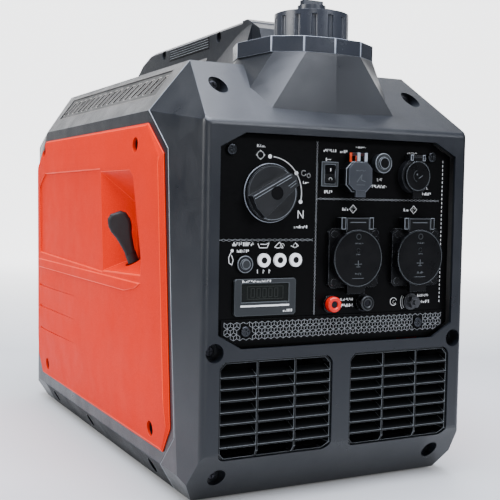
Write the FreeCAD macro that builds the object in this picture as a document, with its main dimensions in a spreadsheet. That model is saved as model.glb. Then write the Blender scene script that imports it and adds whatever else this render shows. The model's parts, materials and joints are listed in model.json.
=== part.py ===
import FreeCAD, Part
import math
import os
from types import SimpleNamespace

import Sketcher
from FreeCAD import Placement, Rotation, Vector

# Portable inverter generator, in millimetres. +Z is up, the control panel faces -Y, the
# recoil starter is on the -X side, and the origin is the middle of the footprint at floor level.

SIZES = {
    # closed casing: cross-section
    "case_length": 525, "wall": 3,
    "roof_z": 380, "roof_half": 114,
    "shoulder_z": 335, "shoulder_half": 147,
    "sill_z": 25, "sill_half": 141,
    "base_z": 2, "base_half": 128,
    # closed casing: the two faceted ends
    "ridge_z": 321.5, "crown_depth": 79,
    "chin_z": 48, "chin_depth": 32,
    "face_half": 133, "cheek_slope": 0.25, "edge_round": 7,
    # seam between an end shroud and the centre, measured back from the end face
    "seam_shoulder": 92, "seam_high": 50, "seam_high_z": 300, "seam_low": 38, "seam_low_z": 56,
    "seam_sill": 70, "seam_base": 68, "seam_gap": 0.6,
    # recess in the front shroud that holds the control panel
    "well_half": 120, "well_top_half": 97, "well_top": 313, "well_shoulder": 300.8,
    "well_low_half": 98, "well_bottom": 134.3, "well_hip": 147, "well_depth": 8, "well_rim": 2.5,
    "panel_thick": 3, "panel_gap": 0.4,
    # air inlets under the panel
    "vent_inner": 9, "vent_outer": 118, "vent_low": 41, "vent_high": 125, "vent_round": 8,
    "slat_top": 110, "slat_pitch": 9.7, "slat_depth": 9, "slat_thick": 1.6, "slat_rise": 4,
    "grille_gap": 0.4, "grille_front": 1.5, "grille_back": 14,
    # screw cups on the shrouds
    "cup_radius": 8, "cup_wall": 2.3, "cup_floor": 3,
    "crown_screw_half": 101.5, "crown_screw_z": 356, "crown_cup_floor": 60,
    "cheek_screw_half": 122.5, "cheek_screw_z": 132.5, "cheek_cup_floor": 14,
    "chin_screw_half": 111.5, "chin_screw_z": 24, "chin_cup_floor": 30,
    "screw_head": 4.5, "screw_head_thick": 3, "screw_shank": 2, "screw_length": 12,
    # filler dome, collar, cap and tank
    "dome_top_z": 387.5, "dome_foot_z": 315.5, "tongue_z": 380.3,
    "collar_top_z": 401.5, "collar_wall": 4, "collar_floor": 2.2,
    "filler_depth": 64, "neck_radius": 25.5, "neck_top_z": 404, "neck_hole": 27,
    "cap_radius": 34, "cap_low_z": 391.5, "cap_high_z": 427.5, "cap_skirt": 26, "cap_roof": 7,
    "flute_count": 14, "flute_radius": 3.2,
    "breather_radius": 13, "breather_high_z": 441,
    "tank_half": 104, "tank_front": 96, "tank_rear": 330, "tank_low_z": 302, "tank_high_z": 372,
    # carrying handle
    "grip_half": 20, "grip_low_z": 411.5, "grip_high_z": 437.5, "grip_edge": 3,
    "grip_foot_half": 36,
    # side panels
    "panel_proud": 4.6, "panel_lift": 0.15, "window_inset": 30, "side_screw_radius": 7,
    # recoil starter
    "crank_depth": 195, "crank_z": 150, "shaft_radius": 10, "shaft_fit": 0.06,
    "reel_radius": 36, "reel_groove": 31, "rope_hole": 8.5,
    # devices on the control panel: x and z of each one's centre
    "switch_x": -70, "switch_z": 264, "switch_radius": 23.5, "switch_turn": 35,
    "rocker_x": -12.4, "rocker_z": 281.4, "rocker_wide": 16.5, "rocker_tall": 21,
    "rocker_pivot": 1.5, "usb_pivot_z": 20, "usb_pivot": 2, "dc_pivot_z": 17.6, "dc_pivot": 8.3,
    "outlet_pivot_z": 33, "outlet_pivot": 7,
    "usb_x": 12.2, "usb_z": 279.5, "usb_wide": 26.5, "usb_tall": 26, "usb_proud": 10.5,
    "breaker_x": 40.4, "breaker_z": 292.4, "breaker_radius": 8.6,
    "dc_x": 76.2, "dc_z": 282, "dc_radius": 14.8, "dc_proud": 7,
    "outlet_one_x": 13, "outlet_two_x": 80, "outlet_z": 208.5, "outlet_wide": 52, "outlet_tall": 52,
    "outlet_well": 20.5, "outlet_well_depth": 18, "outlet_lid": 25,
    "post_red_x": -9, "post_black_x": 25, "post_z": 168.5, "post_radius": 6.8,
    "earth_x": 78.5, "earth_z": 167.4,
    "reset_x": -93.5, "reset_z": 204.5, "reset_radius": 7,
    "lamp_x": -75.2, "lamp_pitch": 15.3, "lamp_z": 207.5, "lamp_radius": 5.8,
    "meter_x": -74, "meter_z": 176.7, "meter_wide": 58, "meter_tall": 31,
    "strip_half": 114.5, "strip_low": 138.5, "strip_high": 158.3,
}

doc = FreeCAD.newDocument("portable_generator")
sheet = doc.addObject("Spreadsheet::Sheet", "sizes")
for row, (alias, number) in enumerate(SIZES.items(), 1):
    sheet.set(f"A{row}", alias)
    sheet.set(f"B{row}", str(number))
    sheet.setAlias(f"B{row}", alias)
doc.recompute()


class Size:
    """A number together with the sheet expression that gives it."""

    def __init__(self, value, text):
        self.value = value
        self.text = text

    def __add__(self, other):
        other = size(other)
        return Size(self.value + other.value, f"({self.text} + {other.text})")

    def __sub__(self, other):
        other = size(other)
        return Size(self.value - other.value, f"({self.text} - {other.text})")

    def __mul__(self, other):
        other = size(other)
        return Size(self.value * other.value, f"({self.text} * {other.text})")

    def __truediv__(self, other):
        other = size(other)
        return Size(self.value / other.value, f"({self.text} / {other.text})")

    def __radd__(self, other):
        return size(other) + self

    def __rsub__(self, other):
        return size(other) - self

    def __rmul__(self, other):
        return size(other) * self

    def __neg__(self):
        return size(0) - self


def size(number):
    """A plain number is its own expression."""
    return number if isinstance(number, Size) else Size(float(number), f"({number:g})")


S = SimpleNamespace(**{name: Size(float(value), f"sizes.{name}") for name, value in SIZES.items()})
FRONT = -S.case_length / 2
N = SimpleNamespace(**SIZES)
HALF_LENGTH = N.case_length / 2
parts = {}


# ---------------------------------------------------------------- document helpers

def number(length):
    return size(length).value


def register(item, label):
    item.Label = label
    parts[label] = item
    return item


def body(label, x=0, y=0, z=0):
    """A new part; x, y, z is where its own origin sits in the generator."""
    item = doc.addObject("PartDesign::Body", label)
    item.AllowCompound = True
    for axis, value in zip("xyz", (x, y, z)):
        item.setExpression(f"Placement.Base.{axis}", size(value).text)
    return register(item, label)


def sketch_on(item, plane, level):
    """A sketch parallel to one of the body's own planes, at a coordinate along its normal."""
    role = {"XY": "XY_Plane", "XZ": "XZ_Plane", "YZ": "YZ_Plane"}[plane]
    origin_plane = next(f for f in item.Origin.OriginFeatures if f.Role == role)
    drawing = item.newObject("Sketcher::SketchObject", "outline")
    drawing.AttachmentSupport = [(origin_plane, "")]
    drawing.MapMode = "FlatFace"
    shift = -size(level) if plane == "XZ" else size(level)
    drawing.setExpression("AttachmentOffset.Base.z", shift.text)
    return drawing


def fix(drawing, index, vertex, point):
    """Tie a sketch point to the sketch origin by two bound distances."""
    for kind, axis, value in (("DistanceX", -2, point[0]), ("DistanceY", -1, point[1])):
        value = size(value)
        if value.value == 0:
            drawing.addConstraint(Sketcher.Constraint("PointOnObject", index, vertex, axis))
            continue
        held = Sketcher.Constraint(kind, -1, 1, index, vertex, value.value)
        drawing.setExpression(f"Constraints[{drawing.addConstraint(held)}]", value.text)


def polygon(points):
    """Closed straight-sided outline."""
    def draw(drawing):
        flat = [Vector(number(p[0]), number(p[1]), 0) for p in points]
        first = drawing.GeometryCount
        for i, start in enumerate(flat):
            drawing.addGeometry(Part.LineSegment(start, flat[(i + 1) % len(flat)]))
        for i, point in enumerate(points):
            after = first + (i + 1) % len(points)
            drawing.addConstraint(Sketcher.Constraint("Coincident", first + i, 2, after, 1))
            fix(drawing, first + i, 1, point)
    return draw


def rectangle(left, right, low, high):
    return polygon([(left, low), (right, low), (right, high), (left, high)])


def cut_corners(left, right, low, high, corner):
    """Rectangle with its four corners cut off."""
    left, right, low, high = size(left), size(right), size(low), size(high)
    return polygon([
        (left + corner, low), (right - corner, low), (right, low + corner), (right, high - corner),
        (right - corner, high), (left + corner, high), (left, high - corner), (left, low + corner),
    ])


def circle(x, y, radius):
    def draw(drawing):
        ring = Part.Circle(Vector(number(x), number(y), 0), Vector(0, 0, 1), number(radius))
        index = drawing.addGeometry(ring)
        fix(drawing, index, 3, (x, y))
        held = Sketcher.Constraint("Radius", index, number(radius))
        drawing.setExpression(f"Constraints[{drawing.addConstraint(held)}]", size(radius).text)
    return draw


def add(item, plane, low, high, *outlines):
    """Material between two coordinates along the plane's normal."""
    drawing = sketch_on(item, plane, low)
    for outline in outlines:
        outline(drawing)
    pad = item.newObject("PartDesign::Pad", "pad")
    pad.Profile = drawing
    pad.Reversed = plane == "XZ"
    pad.setExpression("Length", (size(high) - low).text)
    return pad


def cut(item, plane, low, high, *outlines):
    """A pocket between two coordinates along the plane's normal."""
    drawing = sketch_on(item, plane, low)
    for outline in outlines:
        outline(drawing)
    pocket = item.newObject("PartDesign::Pocket", "pocket")
    pocket.Profile = drawing
    pocket.Reversed = plane != "XZ"
    pocket.setExpression("Length", (size(high) - low).text)
    return pocket


def turned(item, plane, axis, points):
    """A profile turned once about the sketch's own axis, H_Axis or V_Axis."""
    drawing = sketch_on(item, plane, 0)
    polygon(points)(drawing)
    spin = item.newObject("PartDesign::Revolution", "turned")
    spin.Profile = drawing
    spin.ReferenceAxis = (drawing, [axis])
    spin.Angle = 360
    return spin


def feature(label, shape, placement=None):
    """A part whose shape is worked out with Part's own functions from the sheet's sizes."""
    item = doc.addObject("Part::Feature", label)
    item.Shape = shape
    if placement:
        item.Placement = placement
    return register(item, label)


# ---------------------------------------------------------------- solid helpers

def half_space(point, normal):
    """A block that fills everything beyond a plane."""
    block = Part.makeBox(2000, 2000, 1000, Vector(-1000, -1000, 0))
    block.Placement = Placement(point, Rotation(Vector(0, 0, 1), normal))
    return block


def convex(planes, inset=0):
    """The solid inside every plane, each moved in by the inset."""
    solid = Part.makeBox(1000, 1000, 1000, Vector(-500, -500, -300))
    for point, normal in planes:
        solid = solid.cut(half_space(point - normal * inset, normal))
    return solid


def outward(a, b, c, centre):
    """The plane through three points, with its normal away from the centre."""
    normal = (b - a).cross(c - a).normalize()
    return a, normal if (a - centre).dot(normal) > 0 else normal * -1


def prism(points, direction):
    """A flat closed outline swept along a direction."""
    return Part.Face(Part.makePolygon([*points, points[0]])).extrude(direction)


def bar(start, end, radius):
    """Round bar between two points."""
    return Part.makeCylinder(radius, (end - start).Length, start, end - start)


def block(low, high):
    low, high = Vector(*low), Vector(*high)
    return Part.makeBox(high.x - low.x, high.y - low.y, high.z - low.z, low)


def front_y(depth):
    """World y of a point that lies a depth behind the front face."""
    return depth - HALF_LENGTH


# ---------------------------------------------------------------- casing shells

def end_corners(side, end):
    """Corner points of one quarter of one end of the casing."""
    def at(half, depth, height):
        return Vector(side * half, end * (HALF_LENGTH - depth), height)
    return SimpleNamespace(
        ridge=at(N.face_half, 0, N.ridge_z), crown=at(N.roof_half, N.crown_depth, N.roof_z),
        shoulder=at(N.shoulder_half, N.seam_shoulder, N.shoulder_z),
        high=at(N.face_half + N.cheek_slope * N.seam_high, N.seam_high, N.seam_high_z),
        foot=at(N.face_half, 0, N.chin_z), at=at)


def casing_planes():
    """Every plane that bounds the closed casing."""
    middle = Vector(0, 0, (N.roof_z + N.base_z) / 2)
    planes = [(Vector(0, 0, N.roof_z), Vector(0, 0, 1)), (Vector(0, 0, N.base_z), Vector(0, 0, -1))]
    for side in (-1, 1):
        section = [Vector(side * half, 0, height) for half, height in (
            (N.roof_half, N.roof_z), (N.shoulder_half, N.shoulder_z),
            (N.sill_half, N.sill_z), (N.base_half, N.base_z))]
        for upper, lower in zip(section, section[1:]):
            planes.append(outward(upper, lower, upper + Vector(0, 10, 0), middle))
    for end in (-1, 1):
        c = end_corners(1, end)
        face = Vector(0, end * HALF_LENGTH, N.chin_z)
        planes.append((face, Vector(0, end, 0)))
        planes.append(outward(c.ridge, c.crown, c.ridge + Vector(-10, 0, 0), middle))
        under = c.at(N.face_half, N.chin_depth, N.base_z)
        planes.append(outward(c.foot, under, c.foot + Vector(-10, 0, 0), middle))
        for side in (-1, 1):
            c = end_corners(side, end)
            planes.append(outward(c.ridge, c.foot, c.high, middle))
            planes.append(outward(c.ridge, c.crown, c.shoulder, middle))
            planes.append(outward(c.ridge, c.shoulder, c.high, middle))
    return planes


def soften_ends(solid, radius):
    """Round the edges around both flat end faces."""
    edges = [
        e for e in solid.Edges
        if all(abs(abs(v.Y) - HALF_LENGTH) < 0.01 for v in e.Vertexes) and e.Length > 30
    ]
    return solid.makeFillet(radius, edges)


def seam_outline(end, gap):
    """Side view of the zone in front of one seam, as points at x = -400."""
    path = [
        (N.seam_base, -50), (N.seam_base, N.base_z), (N.seam_sill, N.sill_z),
        (N.seam_low, N.seam_low_z), (N.seam_high, N.seam_high_z),
        (N.seam_shoulder, N.shoulder_z), (N.crown_depth, N.roof_z), (N.crown_depth, 500),
        (-60, 500), (-60, -50),
    ]
    points = []
    for depth, height in path:
        back = 0 if depth < 0 else gap
        points.append(Vector(-400, end * (HALF_LENGTH - depth - back), height))
    return points


def end_zone(end, gap=0):
    return prism(seam_outline(end, gap), Vector(800, 0, 0))


outer_casing = soften_ends(convex(casing_planes()), N.edge_round)
inner_casing = convex(casing_planes(), N.wall)
casing_shell = outer_casing.cut(inner_casing)


def shroud_screws(end):
    """Axis points (x, z) and cup floor depth of the six screws of one end shroud."""
    places = []
    for side in (-1, 1):
        places.append((side * N.crown_screw_half, N.crown_screw_z, N.crown_cup_floor))
        places.append((side * N.cheek_screw_half, N.cheek_screw_z, N.cheek_cup_floor))
        places.append((side * N.chin_screw_half, N.chin_screw_z, N.chin_cup_floor))
    return [(x, end * (HALF_LENGTH - floor), z) for x, z, floor in places]


def with_cups(shell, end):
    """Add the blind screw cups to an end shroud; each opens towards its end."""
    into = Vector(0, -end, 0)
    for x, y, z in shroud_screws(end):
        floor = Vector(x, y, z)
        walls = Part.makeCylinder(N.cup_radius + N.cup_wall, 90, floor + into * N.cup_floor, into * -1)
        shell = shell.fuse(walls.common(outer_casing))
    for x, y, z in shroud_screws(end):
        floor = Vector(x, y, z)
        shell = shell.cut(Part.makeCylinder(N.cup_radius, 90, floor, into * -1))
        hole = N.screw_shank + 0.3
        shell = shell.cut(Part.makeCylinder(hole, 20, floor + into * 10, into * -1))
    return shell


def well_outline(grow, depth):
    """The eight corners of the panel well, moved out by grow, at a depth behind the face."""
    half = [
        (N.well_half, N.well_hip), (N.well_half, N.well_shoulder), (N.well_top_half, N.well_top),
        (-N.well_top_half, N.well_top), (-N.well_half, N.well_shoulder), (-N.well_half, N.well_hip),
        (-N.well_low_half, N.well_bottom), (N.well_low_half, N.well_bottom),
    ]
    centre_z = (N.well_top + N.well_bottom) / 2
    return [
        Vector(x + math.copysign(grow, x), front_y(depth), z + math.copysign(grow, z - centre_z))
        for x, z in half
    ]


def dome_outline(inset, height):
    """Corners of the filler dome at a height, found by sloping its sides."""
    rise = (N.dome_top_z - height) / (N.dome_top_z - N.dome_foot_z)
    top = [(0, 20), (28, 24), (52, 40), (60, 94), (52, 119), (28, 133)]
    foot = [(0, 17), (77, 19), (95, 53), (96, 100), (80, 130), (40, 137)]
    ring = []
    for (top_x, top_d), (foot_x, foot_d) in zip(top, foot):
        ring.append((top_x + rise * (foot_x - top_x), top_d + rise * (foot_d - top_d)))
    centre = 78
    right = [(x - inset * (x > 0), d + math.copysign(inset, centre - d)) for x, d in ring]
    left = [(-x, d) for x, d in reversed(right[1:])]
    rear = [(0, 134 - inset + 3 * rise)]
    return [Vector(x, front_y(d), height) for x, d in [*right, *rear, *left]]


def dome_solid(inset):
    """The faceted dome that carries the filler collar."""
    rings = [
        Part.makePolygon([*points, points[0]])
        for points in (dome_outline(inset, N.dome_foot_z), dome_outline(inset, N.dome_top_z))
    ]
    return Part.makeLoft(rings, True, True)


def rounded_vent(side):
    """Cutter for one air inlet."""
    low_x, high_x = sorted((side * N.vent_inner, side * N.vent_outer))
    cutter = block((low_x, front_y(-5), N.vent_low), (high_x, front_y(30), N.vent_high))
    edges = [e for e in cutter.Edges if abs(e.Vertexes[0].Y - e.Vertexes[1].Y) > 1]
    return cutter.makeFillet(N.vent_round, edges)


def make_front_shroud():
    shell = casing_shell.common(end_zone(-1))
    rim_depth = N.well_depth + N.panel_thick + 2.4
    rim = prism(well_outline(N.well_rim, 1), Vector(0, rim_depth - 1, 0))
    rim = rim.cut(prism(well_outline(-4, 0), Vector(0, 30, 0)))
    shell = with_cups(shell.fuse(rim), -1)
    dome = dome_solid(0)
    roof_slab = block((-150, front_y(N.crown_depth), 0), (150, front_y(200), N.tongue_z))
    dome = dome.cut(roof_slab)
    under_slope = inner_casing.common(block((-200, -300, 0), (200, front_y(N.crown_depth), 400)))
    dome = dome.cut(under_slope)
    shell = shell.fuse(dome)
    hollow = dome_solid(3).cut(block((-150, -300, N.dome_top_z - 3), (150, 300, 500)))
    hollow = hollow.cut(block((-150, front_y(N.crown_depth - 3), 0), (150, front_y(200), 500)))
    shell = shell.cut(hollow)
    seat = N.well_depth + N.panel_thick + 0.05
    flange = prism(well_outline(1, seat), Vector(0, 2.4, 0)).cut(prism(well_outline(-4, 0), Vector(0, 30, 0)))
    shell = shell.cut(prism(well_outline(0, -5), Vector(0, seat + 5, 0))).fuse(flange)
    for side in (-1, 1):
        shell = shell.cut(rounded_vent(side))
    neck = Vector(0, front_y(N.filler_depth), 300)
    shell = shell.cut(Part.makeCylinder(N.neck_hole, 150, neck))
    return feature("front_shroud", shell.removeSplitter())


def make_rear_shroud():
    """Mirror of the front shroud's shell, with cooling slots and the exhaust opening."""
    shell = with_cups(casing_shell.common(end_zone(1)), 1)
    slot_count, slot_pitch, slot_tall, slot_low = 15, 12, 5, 104
    for i in range(slot_count):
        low = slot_low + i * slot_pitch
        slot_low_x = 6 if low < 200 else -104
        shell = shell.cut(block((slot_low_x, 240, low), (104, 300, low + slot_tall)))
    exhaust = Vector(-58, 200, 150)
    shell = shell.cut(Part.makeCylinder(32.5, 120, exhaust, Vector(0, 1, 0)))
    return feature("rear_shroud", shell.removeSplitter())


def side_frame(side):
    """Placement of a side panel: its x runs along the casing, y up the wall, z outwards."""
    up = Vector(side * (N.shoulder_half - N.sill_half), 0, N.shoulder_z - N.sill_z).normalize()
    along = Vector(0, side, 0)
    out = along.cross(up)
    turn = FreeCAD.Matrix(
        along.x, up.x, out.x, side * N.sill_half,
        along.y, up.y, out.y, 0,
        along.z, up.z, out.z, N.sill_z,
        0, 0, 0, 1)
    return Placement(turn)


def side_outline(inset):
    """The red panel's eight corners in its own frame: distance along, height above the sill."""
    half = [(171.5, 299), (207.5, 271), (217.5, 37), (200.5, 13)]
    ring = [*half, *[(-x, y) for x, y in reversed(half)]]
    middle = 150
    return [(x - math.copysign(inset, x), y - math.copysign(inset * 0.9, y - middle)) for x, y in ring]


def side_planes():
    """Planes of the pillow shape: chamfered rim, sloping top and bottom facets, flat face."""
    proud, rim, edge = N.panel_proud, 6, 1.2
    middle = Vector(0, 150, 0)
    ring = [Vector(x, y, 0) for x, y in side_outline(0)]
    planes = [(Vector(0, 0, proud), Vector(0, 0, 1))]
    for a, b in zip(ring, ring[1:] + ring[:1]):
        inward = Vector(0, 0, 1).cross(b - a).normalize()
        if inward.dot(middle - a) < 0:
            inward = inward * -1
        planes.append((a, inward * -1))
        planes.append(outward(a + Vector(0, 0, edge), b + Vector(0, 0, edge),
                              a + inward * rim + Vector(0, 0, proud), middle))
    top, fold_top, low, fold_low = 299, 262, 13, 62
    for edge_y, fold_y in ((top, fold_top), (low, fold_low)):
        sunk = proud - 2.6
        planes.append(outward(Vector(0, fold_y, proud), Vector(10, fold_y, proud),
                              Vector(0, edge_y, sunk), middle))
    return planes


def side_panel_blank():
    """Solid of a side panel in its own frame, lying on the casing wall."""
    return convex(side_planes()).cut(half_space(Vector(0, 0, N.panel_lift), Vector(0, 0, -1)))


def along(depth, side):
    """Distance along a side panel of a point at a depth behind the front face."""
    return side * front_y(depth)


SIDE_SCREWS = [(119, 306), (440, 312), (88, 53), (437, 53)]


def side_screw_points(side):
    return [Vector(along(depth, side), z - N.sill_z, 0) for depth, z in SIDE_SCREWS]


def starter_cavity(grow):
    """The hand recess around the starter grip, deep at the front and fading out to the rear."""
    mouth = [(217, 286), (131, 286), (121, 280), (102, 202), (104, 188), (213, 184)]
    floor = [(184, 254), (126, 254), (124, 250), (110, 210), (112, 200), (180, 200)]
    rings = []
    for ring, lift, swell in ((mouth, N.panel_proud + 2, grow), (floor, -20.5 - grow, grow)):
        middle_x = sum(d for d, _ in ring) / len(ring)
        middle_y = sum(z for _, z in ring) / len(ring)
        points = []
        for depth, z in ring:
            wide = math.copysign(swell, depth - middle_x)
            tall = math.copysign(swell, z - middle_y)
            points.append(Vector(along(depth + wide, -1), z + tall - N.sill_z, lift))
        rings.append(Part.makePolygon([*points, points[0]]))
    return Part.makeLoft(rings, True, True)


def make_left_panel():
    """Starter-side panel with its hand recess, grooves and rope hole."""
    below = half_space(Vector(0, 0, N.panel_lift), Vector(0, 0, 1))
    panel = side_panel_blank().fuse(starter_cavity(2.4).cut(below))
    panel = panel.cut(starter_cavity(0))
    fade = [(217, 286), (430, 285), (456, 270), (456, 190), (213, 184)]
    shallow = [Vector(along(d, -1), z - N.sill_z, N.panel_proud - 1.6) for d, z in fade]
    panel = panel.cut(prism(shallow, Vector(0, 0, 10)))
    for z in (149, 123, 96):
        groove = [(307, z), (460, z + 1.5), (460, z - 1.5)]
        points = [Vector(along(d, -1), h - N.sill_z, N.panel_proud - 1.2) for d, h in groove]
        panel = panel.cut(prism(points, Vector(0, 0, 10)))
    rail = [(104, 181.5), (460, 181.5), (460, 171), (150, 171), (118, 176)]
    lip = [Vector(along(d, -1), z - N.sill_z, N.panel_proud - 0.5) for d, z in rail]
    panel = panel.fuse(prism(lip, Vector(0, 0, 1.7)))
    for point in side_screw_points(-1):
        panel = panel.cut(Part.makeCylinder(N.side_screw_radius, 30, point - Vector(0, 0, 10)))
    placement = side_frame(-1)
    rope_end, rope_way = grip_axis()
    inverse = placement.inverse()
    start = inverse.multVec(rope_end - rope_way * 45)
    hole = bar(start, inverse.multVec(rope_end + rope_way * 4), N.rope_hole)
    return feature("left_side_panel", panel.cut(hole).removeSplitter(), placement)


def make_right_panel():
    """Plain service-side panel with three long grooves."""
    panel = side_panel_blank()
    for z in (240, 210, 180):
        groove = [(110, z + 3), (110, z - 3), (415, z - 3), (415, z + 3)]
        points = [Vector(along(d, 1), h - N.sill_z, N.panel_proud - 1.5) for d, h in groove]
        panel = panel.cut(prism(points, Vector(0, 0, 10)))
    for point in side_screw_points(1):
        panel = panel.cut(Part.makeCylinder(N.side_screw_radius, 30, point - Vector(0, 0, 10)))
    return feature("right_side_panel", panel.removeSplitter(), side_frame(1))


def strip_frame(side):
    """Placement of a vent strip on the upper chamfer: x along the casing, z outwards."""
    upper = Vector(side * N.roof_half, 0, N.roof_z)
    lower = Vector(side * N.shoulder_half, 0, N.shoulder_z)
    up = (upper - lower).normalize()
    run = Vector(0, side, 0)
    out = run.cross(up)
    turn = FreeCAD.Matrix(
        run.x, up.x, out.x, lower.x, run.y, up.y, out.y, lower.y,
        run.z, up.z, out.z, lower.z, 0, 0, 0, 1)
    return Placement(turn)


STRIP = SimpleNamespace(half=156, low=19.5, high=48, sunk=0.6, thick=2.4, gap=0.3)


def vent_strip(side):
    strip = block((-STRIP.half, STRIP.low, -STRIP.sunk - STRIP.thick), (STRIP.half, STRIP.high, -STRIP.sunk))
    count, width, lean = 17, 6, 7
    pitch = 2 * (STRIP.half - 14) / (count - 1)
    foot, crest = STRIP.low + 5, STRIP.high - 5
    for i in range(count):
        x = -STRIP.half + 14 + i * pitch
        points = [
            Vector(x - lean - width / 2, foot, -10), Vector(x - lean + width / 2, foot, -10),
            Vector(x + lean + width / 2, crest, -10), Vector(x + lean - width / 2, crest, -10),
        ]
        strip = strip.cut(prism(points, Vector(0, 0, 20)))
    strip.Placement = strip_frame(side)
    return strip


def make_centre_cover():
    """Roof, shoulders and side walls between the two shrouds."""
    cover = casing_shell.cut(end_zone(-1, N.seam_gap)).cut(end_zone(1, N.seam_gap))
    cover = cover.cut(block((-200, -300, -10), (200, 300, N.sill_z + 0.3)))
    for side in (-1, 1):
        placement = side_frame(side)
        cutter = prism([Vector(x, y, -20) for x, y in side_outline(N.window_inset)], Vector(0, 0, 40))
        cutter.Placement = placement
        cups = [Part.makeCylinder(N.side_screw_radius + 2.2, 12, point - Vector(0, 0, 12))
                for point in side_screw_points(side)]
        wells = [Part.makeCylinder(N.side_screw_radius, 9.5, point - Vector(0, 0, 9))
                 for point in side_screw_points(side)]
        drills = [Part.makeCylinder(N.screw_shank + 0.3, 20, point - Vector(0, 0, 16))
                  for point in side_screw_points(side)]
        cover = cover.cut(cutter)
        for group, join in ((cups, True), (wells, False), (drills, False)):
            for tool in group:
                tool.Placement = placement.multiply(tool.Placement)
                cover = cover.fuse(tool.common(outer_casing)) if join else cover.cut(tool)
        gap = STRIP.gap
        opening = block((-STRIP.half - gap, STRIP.low - gap, -12), (STRIP.half + gap, STRIP.high + gap, 5))
        opening.Placement = strip_frame(side)
        cover = cover.cut(opening)
        ledge = block((-STRIP.half - 4, STRIP.low - 4, -5), (STRIP.half + 4, STRIP.high + 4, -2))
        pocket = block((-STRIP.half - gap, STRIP.low - gap, -3.05), (STRIP.half + gap, STRIP.high + gap, 5))
        window = block((-STRIP.half + 5, STRIP.low + 4, -9), (STRIP.half - 5, STRIP.high - 4, 5))
        ledge = ledge.cut([pocket, window])
        ledge.Placement = strip_frame(side)
        cover = cover.fuse(ledge)
    cover = cover.cut(Part.makeCylinder(N.neck_hole, 150, Vector(0, front_y(N.filler_depth), 300)))
    return feature("centre_cover", cover.removeSplitter())


SILL_SCREWS = (105, 292, 428)


def sill_cup(side, depth, radius, low, high):
    """Cylinder across the lower chamfer, between two half widths."""
    start = Vector(side * low, front_y(depth), 14)
    return Part.makeCylinder(radius, high - low, start, Vector(side, 0, 0))


def make_base_tray():
    tray = casing_shell.cut(end_zone(-1, N.seam_gap)).cut(end_zone(1, N.seam_gap))
    tray = tray.common(block((-200, -300, -10), (200, 300, N.sill_z)))
    for side in (-1, 1):
        for depth in SILL_SCREWS:
            tray = tray.fuse(sill_cup(side, depth, 8.8, 118, 150).common(outer_casing))
        for depth in SILL_SCREWS:
            tray = tray.cut(sill_cup(side, depth, 6.8, 121, 160))
            tray = tray.cut(sill_cup(side, depth, 2.3, 110, 130))
    return feature("base_tray", tray.removeSplitter())


# ---------------------------------------------------------------- screws

def screw(head_at, into, head=None):
    """Pan-head screw with a cross recess; its head's underside is at head_at."""
    head = head or N.screw_head
    out = into * -1
    solid = Part.makeCylinder(head, N.screw_head_thick, head_at, out)
    solid = solid.makeFillet(1.0, [solid.Edges[0]])
    solid = solid.fuse(Part.makeCylinder(N.screw_shank, N.screw_length, head_at, into))
    cross = [Part.makeBox(head * 1.3, 1.1, 1.6, Vector(-head * 0.65, -0.55, 0))]
    cross.append(Part.makeBox(1.1, head * 1.3, 1.6, Vector(-0.55, -head * 0.65, 0)))
    for tool in cross:
        tool.Placement = Placement(head_at + out * (N.screw_head_thick - 1.4), Rotation(Vector(0, 0, 1), out))
        solid = solid.cut(tool)
    return solid


def screw_group(label, places):
    return feature(label, Part.makeCompound([screw(at, into) for at, into in places]))


def make_casing_screws():
    """The identical screws of both shrouds, both side panels and the base tray."""
    places = []
    for end in (-1, 1):
        into = Vector(0, -end, 0)
        places += [(Vector(x, y, z) - into * 0.05, into) for x, y, z in shroud_screws(end)]
    for side in (-1, 1):
        placement = side_frame(side)
        into = placement.Rotation.multVec(Vector(0, 0, -1))
        places += [(placement.multVec(p) + into * 8.95, into) for p in side_screw_points(side)]
        inward = Vector(-side, 0, 0)
        places += [(Vector(side * 121.05, front_y(depth), 14), inward) for depth in SILL_SCREWS]
    screw_group("casing_screws", places)


def make_feet():
    feet = body("rubber_feet")
    spots = [circle(x, y, 14) for x in (-95, 95) for y in (-160, 160)]
    add(feet, "XY", 0, S.base_z, *spots)


# ---------------------------------------------------------------- recoil starter

def grip_axis():
    """Where the rope enters the grip, and the way the grip is pulled."""
    start = Vector(-133, front_y(173), 203)
    return start, Vector(-0.34, 0.08, 0.937).normalize()


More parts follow.
